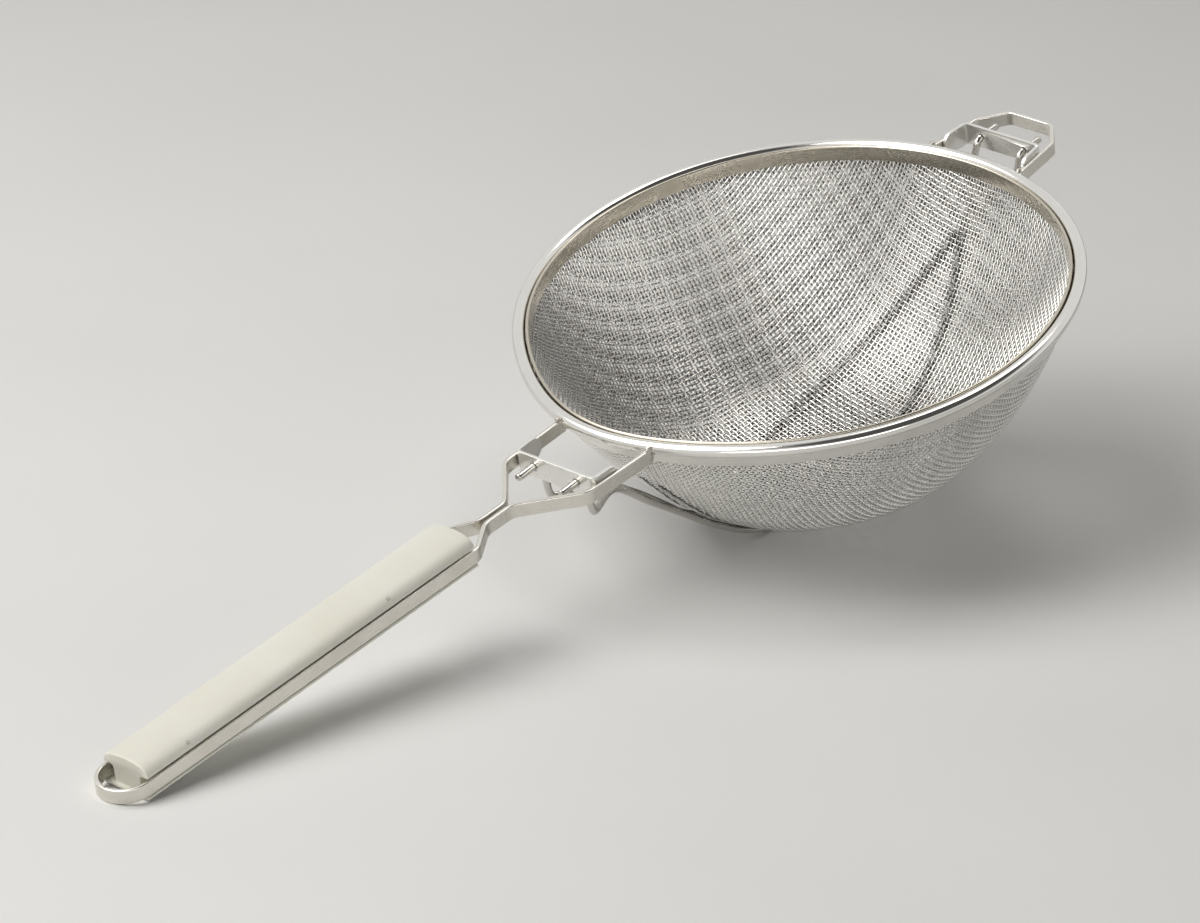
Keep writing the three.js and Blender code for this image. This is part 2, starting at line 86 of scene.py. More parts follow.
@dataclass(frozen=True)
class RestingFrame:
    """Where the strainer's own frame lies as it rests on the table.

    Attributes:
        tilt: Turn about Y in radians that lifts the rear.
        shift: The bead circle's centre in the row frame, in metres.
    """

    tilt: float
    shift: tuple[float, float, float]

    @classmethod
    def from_core_wire(cls, ring: float, tube: float) -> "RestingFrame":
        """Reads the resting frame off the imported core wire.

        Args:
            ring: Radius of the core wire's circle, in millimetres.
            tube: Radius of the wire, in millimetres.

        Returns:
            The frame in which that wire has its packed box.
        """
        low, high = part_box("rim_core_wire")
        half_rise = (high.z - low.z) / 2 / MM
        tilt = math.asin(half_rise / math.hypot(ring, tube)) - math.atan2(tube, ring)
        return cls(tilt, tuple((low + high) / 2))

    def turn(self, vectors: np.ndarray) -> np.ndarray:
        """Turns directions from the strainer's frame into the row frame."""
        c, s = math.cos(self.tilt), math.sin(self.tilt)
        return vectors @ np.array([[c, 0, s], [0, 1, 0], [-s, 0, c]])

    def place(self, points: np.ndarray) -> np.ndarray:
        """Moves points in millimetres into the row frame, in metres."""
        return self.turn(points) * MM + np.array(self.shift)

    def level(self, points: np.ndarray) -> np.ndarray:
        """Moves points in the row frame, in metres, back into the strainer's frame."""
        c, s = math.cos(self.tilt), math.sin(self.tilt)
        return (points - np.array(self.shift)) / MM @ np.array([[c, 0, -s], [0, 1, 0], [s, 0, c]])


@dataclass(frozen=True)
class StripPlane:
    """A plane beside the rim that carries strips, plates and wire ends.

    Attributes:
        origin: Its origin in the strainer's frame.
        rise: Turn about Y in radians.
    """

    origin: tuple[float, float, float]
    rise: float = 0.0

    def place(self, points: np.ndarray) -> np.ndarray:
        """Moves points of the plane's own frame into the strainer's frame."""
        c, s = math.cos(self.rise), math.sin(self.rise)
        return np.asarray(points, float) @ np.array([[c, 0, -s], [0, 1, 0], [s, 0, c]]) + np.array(self.origin)


@dataclass
class Draft:
    """Vertices, faces and surface values gathered for one mesh.

    Attributes:
        points: Vertex arrays in the strainer's frame.
        faces: Vertex numbers of each face.
        places: Texture place of each face corner, in metres.
        slots: Material number of each face.
        edges: How far each vertex is a worn edge, from 0 to 1.
        tones: Dullness for each vertex, from 0 to 1: a piece's own tone, and on the cloths and guard wires painted
            shade.
        count: Number of vertices so far.
    """

    points: list[np.ndarray] = field(default_factory=list)
    faces: list[list[int]] = field(default_factory=list)
    places: list[np.ndarray] = field(default_factory=list)
    slots: list[int] = field(default_factory=list)
    edges: list[np.ndarray] = field(default_factory=list)
    tones: list[np.ndarray] = field(default_factory=list)
    count: int = 0

    def loft(
        self,
        grid: np.ndarray,
        *,
        closed: bool = False,
        capped: bool = True,
        edge: np.ndarray | None = None,
        tone: float | np.ndarray = 0.5,
        slots: np.ndarray | None = None,
    ) -> None:
        """Adds a skin over rows of closed outlines.

        Args:
            grid: Rows by outline points by 3. Outlines run anticlockwise for someone who looks along the rows.
            closed: Whether the last row joins the first.
            capped: Whether open ends get a face.
            edge: Wear of each outline point.
            tone: Shade of the whole skin, or of each row's points.
            slots: Material number of each outline segment.
        """
        rows, ring = grid.shape[:2]
        i = np.arange(rows if closed else rows - 1)[:, None]
        k = np.arange(ring)[None, :]
        after, around = (i + 1) % rows, (k + 1) % ring
        quads = np.stack([i * ring + k, after * ring + k, after * ring + around, i * ring + around], -1)
        middle = grid.mean(1)
        steps = np.linalg.norm(np.diff(middle, axis=0, append=middle[:1]), axis=1)
        along = np.concatenate([[0.0], np.cumsum(steps)]) * MM
        girth = np.linalg.norm(np.roll(grid[0], -1, 0) - grid[0], axis=1)
        across = np.concatenate([[0.0], np.cumsum(girth)]) * MM
        u0, u1 = along[i] + 0 * k, along[i + 1] + 0 * k
        v0, v1 = across[k] + 0 * i, across[k + 1] + 0 * i
        corners = np.stack([np.stack(p, -1) for p in ((u0, v0), (u1, v0), (u1, v1), (u0, v1))], -2)
        self.faces += (quads.reshape(-1, 4) + self.count).tolist()
        self.places.append(corners.reshape(-1, 2))
        self.slots += np.tile(np.zeros(ring, int) if slots is None else slots, len(i)).tolist()
        if capped and not closed:
            ends = (range(ring), range(rows * ring - 1, (rows - 1) * ring - 1, -1))
            for end in ends:
                self.faces.append([self.count + n for n in end])
                self.places.append(np.zeros((ring, 2)))
                self.slots.append(0)
        self.points.append(grid.reshape(-1, 3))
        self.edges.append(np.tile(np.zeros(ring) if edge is None else edge, rows))
        self.tones.append(np.broadcast_to(tone, (rows, ring)).ravel())
        self.count += rows * ring

    def sweep(self, centres: np.ndarray, ups: np.ndarray, outline: np.ndarray, **options: object) -> None:
        """Adds an outline swept along a line.

        Args:
            centres: Points of the line.
            ups: A direction for each point that the outline's second axis leans to.
            outline: Points (across, up), anticlockwise for someone who looks along the line.
            **options: Passed on to loft.
        """
        if options.get("closed"):
            ahead = np.roll(centres, -1, 0) - np.roll(centres, 1, 0)
        else:
            ahead = np.gradient(centres, axis=0)
        self.loft(set_across(centres, unit(ahead), ups, outline), **options)

    def make(self, name: str, rest: RestingFrame, materials: list[bpy.types.Material]) -> bpy.types.Object:
        """Turns the draft into a smooth-shaded object in the row frame.

        Args:
            name: The piece's name.
            rest: The resting frame.
            materials: Materials in the order of the slot numbers.

        Returns:
            The new object, linked to the scene.
        """
        mesh = bpy.data.meshes.new(name)
        mesh.from_pydata(rest.place(np.concatenate(self.points)), [], self.faces)
        layer = mesh.uv_layers.new(name="run")
        layer.uv.foreach_set("vector", np.concatenate(self.places).astype(np.float32).ravel())
        for label, values in (("edge", self.edges), ("tone", self.tones)):
            attribute = mesh.attributes.new(label, "FLOAT", "POINT")
            attribute.data.foreach_set("value", np.concatenate(values).astype(np.float32))
        for material in materials:
            mesh.materials.append(material)
        mesh.polygons.foreach_set("material_index", np.array(self.slots, np.int32))
        mesh.polygons.foreach_set("use_smooth", np.ones(len(mesh.polygons), bool))
        mesh.update()
        piece = bpy.data.objects.new(name, mesh)
        bpy.context.scene.collection.objects.link(piece)
        return piece


def unit(vectors: np.ndarray) -> np.ndarray:
    """Vectors scaled to length 1."""
    return vectors / np.maximum(np.linalg.norm(vectors, axis=-1, keepdims=True), 1e-12)


def set_across(centres: np.ndarray, ahead: np.ndarray, ups: np.ndarray, outline: np.ndarray) -> np.ndarray:
    """Sets an outline across a line at each of its points.

    Args:
        centres: Points of the line.
        ahead: Its direction at each point.
        ups: A direction for each point that the outline's second axis leans to.
        outline: Points (across, up).

    Returns:
        The line's points by outline points by 3.
    """
    sideways = unit(np.cross(ahead, ups))
    upward = np.cross(sideways, ahead)
    return centres[:, None] + outline[None, :, :1] * sideways[:, None] + outline[None, :, 1:] * upward[:, None]


def circle(radius: float, sides: int) -> np.ndarray:
    """A round outline of a wire."""
    angle = np.arange(sides) * 2 * math.pi / sides
    return radius * np.stack([np.cos(angle), np.sin(angle)], -1)


def arc(centre: tuple[float, float], radius: float, start: float, end: float, steps: int) -> np.ndarray:
    """Points on an arc.

    Args:
        centre: The arc's centre.
        radius: Its radius.
        start: First angle in degrees.
        end: Last angle in degrees.
        steps: Number of segments.

    Returns:
        The points, ends included.
    """
    angle = np.radians(np.linspace(start, end, steps + 1))
    return np.array(centre) + radius * np.stack([np.cos(angle), np.sin(angle)], -1)


def held(points: np.ndarray, near: float, closed: bool = False) -> np.ndarray:
    """Adds points close to both ends of long straight segments, so that smooth shading stays flat between them.

    Args:
        points: Points of a line or outline.
        near: Distance of the new points from the ends.
        closed: Whether the last point joins the first.

    Returns:
        The line with the new points.
    """
    found = []
    after = np.roll(points, -1, 0)
    for i, (a, b) in enumerate(zip(points, after)):
        found.append(a)
        length = float(np.linalg.norm(b - a))
        if length > 4 * near and (closed or i < len(points) - 1):
            found += [a + (b - a) * near / length, b - (b - a) * near / length]
    return np.array(found)


def rounded_bar(width: float, low: float, high: float, radius: float, steps: int = 3) -> tuple[np.ndarray, np.ndarray]:
    """Outline of a flat bar with rounded edges.

    Args:
        width: Its thickness.
        low: Its lower side.
        high: Its upper side.
        radius: Rounding of its edges.
        steps: Segments of each rounding.

    Returns:
        The outline, and how far each of its points is an edge.
    """
    half, foot, head = width / 2 - radius, low + radius, high - radius
    corners = [(half, foot, -90), (half, head, 0), (-half, head, 90), (-half, foot, 180)]
    outline = np.concatenate([arc((x, y), radius, start, start + 90, steps) for x, y, start in corners])
    outline = held(outline, radius / 2, closed=True)
    far = np.hypot(width / 2 - np.abs(outline[:, 0]), np.minimum(outline[:, 1] - low, high - outline[:, 1]))
    return outline, np.clip(EDGE_REACH - far / radius, 0, 1)


def minimal_ups(centres: np.ndarray) -> np.ndarray:
    """Directions along a line that turn no more than the line makes them.

    Args:
        centres: Points of the line.

    Returns:
        One direction across the line for each point.
    """
    ahead = unit(np.gradient(centres, axis=0))
    up = np.array([0.0, 1.0, 0.0])
    found = []
    for direction in ahead:
        up = unit(up - direction * (up @ direction))
        found.append(up)
    return np.array(found)


def bent_line(corners: list[tuple[float, float, float]], steps: int) -> np.ndarray:
    """Middle line of a strip bent round corners.

    Args:
        corners: (x, y, bend radius) of each corner. The ends have no bend.
        steps: Segments in a quarter turn.

    Returns:
        Points (x, y, 0) along the line, with arcs in the bends.
    """
    points = np.array([c[:2] for c in corners], float)
    line = [points[:1]]
    for before, at, after, (_, _, radius) in zip(points, points[1:], points[2:], corners[1:-1]):
        into, out = unit(at - before), unit(after - at)
        turn = math.atan2(into[0] * out[1] - into[1] * out[0], into @ out)
        side = math.copysign(1, turn)
        start = at - into * radius * math.tan(abs(turn) / 2)
        centre = start + side * radius * np.array([-into[1], into[0]])
        first = math.degrees(math.atan2(*(start - centre)[::-1]))
        count = max(3, round(steps * abs(turn) / (math.pi / 2)))
        line.append(arc(tuple(centre), radius, first, first + math.degrees(turn), count))
    line.append(points[-1:])
    flat = np.concatenate(line)
    return np.pad(flat, ((0, 0), (0, 1)))


def smooth_line(knots: np.ndarray, steps: int) -> np.ndarray:
    """A centripetal curve through knots.

    Args:
        knots: Points that the curve passes.
        steps: Segments between two knots.

    Returns:
        Points along the curve.
    """
    ends = [2 * knots[0] - knots[1], *knots, 2 * knots[-1] - knots[-2]]
    shares = np.arange(steps) / steps
    line = []
    for p0, p1, p2, p3 in zip(ends, ends[1:], ends[2:], ends[3:]):
        d0, d1, d2 = (max(math.sqrt(np.linalg.norm(b - a)), 1e-6) for a, b in ((p0, p1), (p1, p2), (p2, p3)))
        t1 = ((p1 - p0) / d0 - (p2 - p0) / (d0 + d1) + (p2 - p1) / d1) * d1
        t2 = ((p2 - p1) / d1 - (p3 - p1) / (d1 + d2) + (p3 - p2) / d2) * d1
        c2, c3 = 3 * (p2 - p1) - 2 * t1 - t2, 2 * (p1 - p2) + t1 + t2
        t = shares[:, None]
        line.append(p1 + t1 * t + c2 * t**2 + c3 * t**3)
    return np.concatenate([*line, knots[-1:]])


class Effects:
    """Shader node groups that several finishes share."""

    def __init__(self) -> None:
        """Builds each group once."""
        self.grain = self._drawn_grain()
        self.marks = self._handling_marks()
        self.edges = self._edge_polish()

    @staticmethod
    def _group(
        name: str, inputs: dict[str, float], outputs: list[str]
    ) -> tuple[bpy.types.NodeTree, bpy.types.Node, bpy.types.Node]:
        """Makes an empty group with number sockets.

        Args:
            name: The group's name.
            inputs: Default of each input.
            outputs: Names of the outputs.

        Returns:
            The group, its input node and its output node.
        """
        tree = bpy.data.node_groups.new(name, "ShaderNodeTree")
        for label, value in inputs.items():
            tree.interface.new_socket(name=label, in_out="INPUT", socket_type="NodeSocketFloat").default_value = value
        for label in outputs:
            tree.interface.new_socket(name=label, in_out="OUTPUT", socket_type="NodeSocketFloat")
        return tree, tree.nodes.new("NodeGroupInput"), tree.nodes.new("NodeGroupOutput")

    def _drawn_grain(self) -> bpy.types.NodeTree:
        """Fine lines along a strip or wire, from drawing and brushing.

        Returns:
            A group with the outputs Shade and Height.
        """
        tree, given, out = self._group("drawn_grain", {"Along": 30.0, "Across": 2500.0}, ["Shade", "Height"])
        place, scale = added(tree, "TexCoord"), added(tree, "CombineXYZ")
        stretch = added(tree, "VectorMath", "MULTIPLY")
        lines = added(tree, "TexNoise", Scale=1.0, Detail=4.0, Roughness=0.65)
        spread = added(tree, "MapRange", From_Min=0.3, From_Max=0.7)
        join(tree, (given, "Along"), (scale, "X"))
        join(tree, (given, "Across"), (scale, "Y"))
        join(tree, (place, "UV"), (stretch, 0))
        join(tree, (scale, "Vector"), (stretch, 1))
        join(tree, (stretch, "Vector"), (lines, "Vector"))
        join(tree, (lines, "Fac"), (spread, "Value"))
        join(tree, (spread, "Result"), (out, "Shade"))
        join(tree, (lines, "Fac"), (out, "Height"))
        return tree

    def _handling_marks(self) -> bpy.types.NodeTree:
        """Cloudy patches left by hands and washing.

        Returns:
            A group with the outputs Cloud and Speck.
        """
        tree, given, out = self._group("handling_marks", {"Patch": 60.0, "Fleck": 900.0}, ["Cloud", "Speck"])
        place = added(tree, "TexCoord")
        for label, size, detail, low, high in (("Cloud", "Patch", 3.0, 0.35, 0.7), ("Speck", "Fleck", 1.0, 0.55, 0.8)):
            texture = added(tree, "TexNoise", Detail=detail)
            spread = added(tree, "MapRange", From_Min=low, From_Max=high)
            join(tree, (given, size), (texture, "Scale"))
            join(tree, (place, "Object"), (texture, "Vector"))
            join(tree, (texture, "Fac"), (spread, "Value"))
            join(tree, (spread, "Result"), (out, label))
        return tree

    def _edge_polish(self) -> bpy.types.NodeTree:
        """Edges rubbed bright, in broken runs.

        Returns:
            A group with the output Mask.
        """
        tree, given, out = self._group("edge_polish", {"Break": 180.0, "Amount": 1.0}, ["Mask"])
        place, runs = added(tree, "TexCoord"), added(tree, "TexNoise")
        worn = added(tree, "Attribute")
        worn.attribute_name = "edge"
        spread = added(tree, "MapRange", From_Min=0.2, From_Max=0.6, To_Min=0.45)
        both, scaled = added(tree, "Math", "MULTIPLY"), added(tree, "Math", "MULTIPLY")
        join(tree, (place, "Object"), (runs, "Vector"))
        join(tree, (given, "Break"), (runs, "Scale"))
        join(tree, (runs, "Fac"), (spread, "Value"))
        join(tree, (worn, "Fac"), (both, 0))
        join(tree, (spread, "Result"), (both, 1))
        join(tree, (both, "Value"), (scaled, 0))
        join(tree, (given, "Amount"), (scaled, 1))
        join(tree, (scaled, "Value"), (out, "Mask"))
        return tree


def join(tree: bpy.types.NodeTree, source: tuple, target: tuple) -> None:
    """Links an output to an input, each given as (node, socket name or number)."""
    tree.links.new(source[0].outputs[source[1]], target[0].inputs[target[1]])


def set_inputs(node: bpy.types.Node, values: dict[str, object]) -> None:
    """Sets a node's inputs by name, with _ for a space."""
    for label, value in values.items():
        node.inputs[label.replace("_", " ")].default_value = value


def added(tree: bpy.types.NodeTree, kind: str, operation: str | None = None, **values: object) -> bpy.types.Node:
    """Adds a shader node.

    Args:
        tree: The nodes to add it to.
        kind: Its kind.
        operation: What it works out, for a kind that has a choice.
        **values: Input values by name, with _ for a space.

    Returns:
        The node.
    """
    node = tree.nodes.new(f"ShaderNode{kind}")
    if operation:
        node.operation = operation
    set_inputs(node, values)
    return node


def blank(name: str, **values: object) -> tuple[bpy.types.Material, bpy.types.NodeTree, bpy.types.Node]:
    """Makes a material.

    Args:
        name: Its name.
        **values: Input values of its shader by name, with _ for a space.

    Returns:
        The material, its nodes and its shader.
    """
    material = bpy.data.materials.new(name)
    material.use_nodes = True
    shader = material.node_tree.nodes["Principled BSDF"]
    set_inputs(shader, values)
    return material, material.node_tree, shader


def surfaced(shader: bpy.types.Node, colour: tuple, rough: tuple, height: tuple, **bump: float) -> None:
    """Gives a shader its colour, its roughness and its bumps.

    Args:
        shader: The shader.
        colour: The output that gives the colour.
        rough: The output that gives the roughness.
        height: The output that gives the bumps' height.
        **bump: Strength and distance of the bumps.
    """
    tree = shader.id_data
    relief = added(tree, "Bump", **bump)
    join(tree, colour, (shader, "Base Color"))
    join(tree, rough, (shader, "Roughness"))
    join(tree, height, (relief, "Height"))
    join(tree, (relief, "Normal"), (shader, "Normal"))


def placed(tree: bpy.types.NodeTree, group: bpy.types.NodeTree, **values: float) -> bpy.types.Node:
    """Places a group in a material with its own values.

    Args:
        tree: The material's nodes.
        group: The group to place.
        **values: Input values by name.

    Returns:
        The group's node.
    """
    node = added(tree, "Group")
    node.node_tree = group
    set_inputs(node, values)
    return node


def mixed(tree: bpy.types.NodeTree, share: tuple, first: tuple, second: tuple) -> bpy.types.Node:
    """Mixes two colours by a share.

    Args:
        tree: The material's nodes.
        share: The output that drives the mix.
        first: A colour, or the output that gives it.
        second: A colour, or the output that gives it.

    Returns:
        The mix node, whose colour is its output number 2.
    """
    node = added(tree, "Mix")
    node.data_type = "RGBA"
    join(tree, share, (node, 0))
    for socket, value in ((6, first), (7, second)):
        if isinstance(value[0], bpy.types.Node):
            join(tree, value, (node, socket))
        else:
            node.inputs[socket].default_value = (*value, 1.0)
    return node


def spanned(tree: bpy.types.NodeTree, source: tuple, low: float, high: float) -> bpy.types.Node:
    """Spreads a value from 0 to 1 between two numbers.

    Args:
        tree: The material's nodes.
        source: The output that gives the value.
        low: Result at 0.
        high: Result at 1.

    Returns:
        The node, whose output is Result.
    """
    node = added(tree, "MapRange", To_Min=low, To_Max=high)
    join(tree, source, (node, "Value"))
    return node


def combined(tree: bpy.types.NodeTree, operation: str, first: tuple, second: tuple) -> bpy.types.Node:
    """Combines two values with one step of arithmetic, held between 0 and 1.

    Args:
        tree: The material's nodes.
        operation: The step.
        first: The output that gives the first value.
        second: The output that gives the second value.

    Returns:
        The node, whose output is Value.
    """
    node = added(tree, "Math", operation)
    node.use_clamp = True
    join(tree, first, (node, 0))
    join(tree, second, (node, 1))
    return node


@dataclass(frozen=True)
class SteelFinish:
    """A bare steel finish.

    Attributes:
        name: Its name.
        bright: Colour where it is clean.
        dull: Colour in the grain, under marks, and where the tone attribute paints shade.
        smooth: Roughness where it is polished.
        rough: Roughness where it is dull.
        along: Grain features per metre along the piece.
        across: Grain features per metre across it.
        depth: Depth of the grain in metres.
        patch: Handling marks per metre.
        edge: How far edges are rubbed bright.
        own: How much of the dullness follows the tone attribute (the piece's own tone, and painted shade on the cloths
            and guard wires) and not its marks.
        lined: How much of the marks is grain and not cloud.
        rubbed: How much brighter a rubbed edge is.
    """

    name: str
    bright: tuple[float, float, float]
    dull: tuple[float, float, float]
    smooth: float
    rough: float
    along: float = 30.0
    across: float = 2500.0
    depth: float = 0.00002
    patch: float = 60.0
    edge: float = 0.8
    own: float = 0.3
    lined: float = 0.45
    rubbed: float = 1.08

    def material(self, effects: Effects) -> bpy.types.Material:
        """Builds the material.

        Args:
            effects: The shared groups.

        Returns:
            The material.
        """
        material, tree, shader = blank(self.name, Metallic=1.0)
        grain = placed(tree, effects.grain, Along=self.along, Across=self.across)
        marks = placed(tree, effects.marks, Patch=self.patch)
        edges = placed(tree, effects.edges, Amount=self.edge)
        tone = added(tree, "Attribute")
        tone.attribute_name = "tone"
        cloud = spanned(tree, (marks, "Cloud"), 0.0, 1 - self.lined)
        lines = spanned(tree, (grain, "Shade"), 0.0, self.lined)
        shade = combined(tree, "ADD", (cloud, "Result"), (lines, "Result"))
        marked = spanned(tree, (shade, "Value"), 0.0, 1 - self.own)
        toned = spanned(tree, (tone, "Fac"), 0.0, self.own)
        dullness = combined(tree, "ADD", (marked, "Result"), (toned, "Result"))
        body = mixed(tree, (dullness, "Value"), self.bright, self.dull)
        lit = tuple(min(1.0, self.rubbed * c) for c in self.bright)
        colour = mixed(tree, (edges, "Mask"), (body, 2), lit)
        worn = combined(tree, "SUBTRACT", (shade, "Value"), (edges, "Mask"))
        rough = spanned(tree, (worn, "Value"), self.smooth, self.rough)
        surfaced(shader, (colour, 2), (rough, "Result"), (grain, "Height"), Strength=0.6, Distance=self.depth)
        return material


@dataclass(frozen=True)
class IvoryFinish:
    """Moulded ivory plastic with a soft sheen.

    Attributes:
        name: Its name.
        pale: Colour of the clean plastic.
        aged: Colour of yellowed patches.
        rough: Roughness of the moulded skin.
    """

    name: str = "ivory_plastic"
    pale: tuple[float, float, float] = (0.77, 0.765, 0.69)
    aged: tuple[float, float, float] = (0.71, 0.695, 0.60)
    rough: float = 0.42

    def material(self, effects: Effects) -> bpy.types.Material:
        """Builds the material.

        Args:
            effects: The shared groups.

        Returns:
            The material.
        """
        material, tree, shader = blank(
            self.name, IOR=1.5, Subsurface_Weight=0.12, Subsurface_Scale=0.003, Subsurface_Radius=(1.0, 0.8, 0.5)
        )
        marks = placed(tree, effects.marks, Patch=32.0, Fleck=1600.0)
        edges = placed(tree, effects.edges, Amount=0.5)
        cloud = spanned(tree, (marks, "Cloud"), 0.0, 0.5)
        shade = combined(tree, "SUBTRACT", (cloud, "Result"), (edges, "Mask"))
        colour = mixed(tree, (shade, "Value"), self.pale, self.aged)
        rough = spanned(tree, (marks, "Cloud"), self.rough - 0.06, self.rough + 0.08)
        surfaced(shader, (colour, 2), (rough, "Result"), (marks, "Speck"), Strength=0.25, Distance=0.00003)
        return material


@dataclass(frozen=True)
class FloorFinish:
    """Pale studio floor.

    Attributes:
        name: Its name.
        pale: Its colour.
        shade: Colour of its clouds.
        rough: Its roughness.
    """

    name: str = "pale_floor"
    pale: tuple[float, float, float] = (0.80, 0.80, 0.79)
    shade: tuple[float, float, float] = (0.77, 0.77, 0.76)
    rough: float = 0.85

    def material(self, effects: Effects) -> bpy.types.Material:
        """Builds the material.

        Args:
            effects: The shared groups.

        Returns:
            The material.
        """
        material, tree, shader = blank(self.name, Roughness=self.rough)
        marks = placed(tree, effects.marks, Patch=4.0)
        colour = mixed(tree, (marks, "Cloud"), self.pale, self.shade)
        join(tree, (colour, 2), (shader, "Base Color"))
        return material


@dataclass(frozen=True)
class BowlShape:
    """The bowl's outer curve: a power curve from its bottom up to the rim.

    Attributes:
        radius: Radius at the skirt's lower edge.
        depth: Bottom below the bead's centre.
        skirt_drop: The skirt's lower edge below the bead's centre.
        fullness: Power of the curve.
        cloth_top: Height of the cloths' upper edges.
    """

    radius: float = 123.0
    depth: float = 98.5
    skirt_drop: float = 9.5
    fullness: float = 3.0
    cloth_top: float = -3.9

    @property
    def rise(self) -> float:
        """Height from the bottom to the skirt's lower edge."""
        return self.depth - self.skirt_drop

    def height(self, r: np.ndarray) -> np.ndarray:
        """Height of the outside at a radius."""
        return -self.depth + self.rise * (np.abs(r) / self.radius) ** self.fullness

    def slope(self, r: np.ndarray) -> np.ndarray:
        """Rise of the outside for each step outwards."""
        return self.rise * self.fullness / self.radius * (np.abs(r) / self.radius) ** (self.fullness - 1)

    def radius_at(self, height: float) -> float:
        """Radius of the outside at a height."""
        return self.radius * ((height + self.depth) / self.rise) ** (1 / self.fullness)

    def lengths(self) -> tuple[np.ndarray, np.ndarray]:
        """Length of the curve from the bottom.

        Returns:
            The lengths, and the radii where they are reached.
        """
        radii = np.linspace(0, self.radius_at(self.cloth_top), 600)
        steps = np.hypot(np.diff(radii), np.diff(self.height(radii)))
        return np.concatenate([[0.0], np.cumsum(steps)]), radii


@dataclass(frozen=True)
class Bench:
    """What every sub-assembly is built on.

    Attributes:
        rim: The rim.
        bowl: The bowl's curve.
        handle: The handle's plane.
        hook: The hook's plane.
        rest: The resting frame.
        finishes: Materials by name.
    """

    rim: "Rim"
    bowl: BowlShape
    handle: StripPlane
    hook: StripPlane
    rest: RestingFrame
    finishes: dict[str, bpy.types.Material]


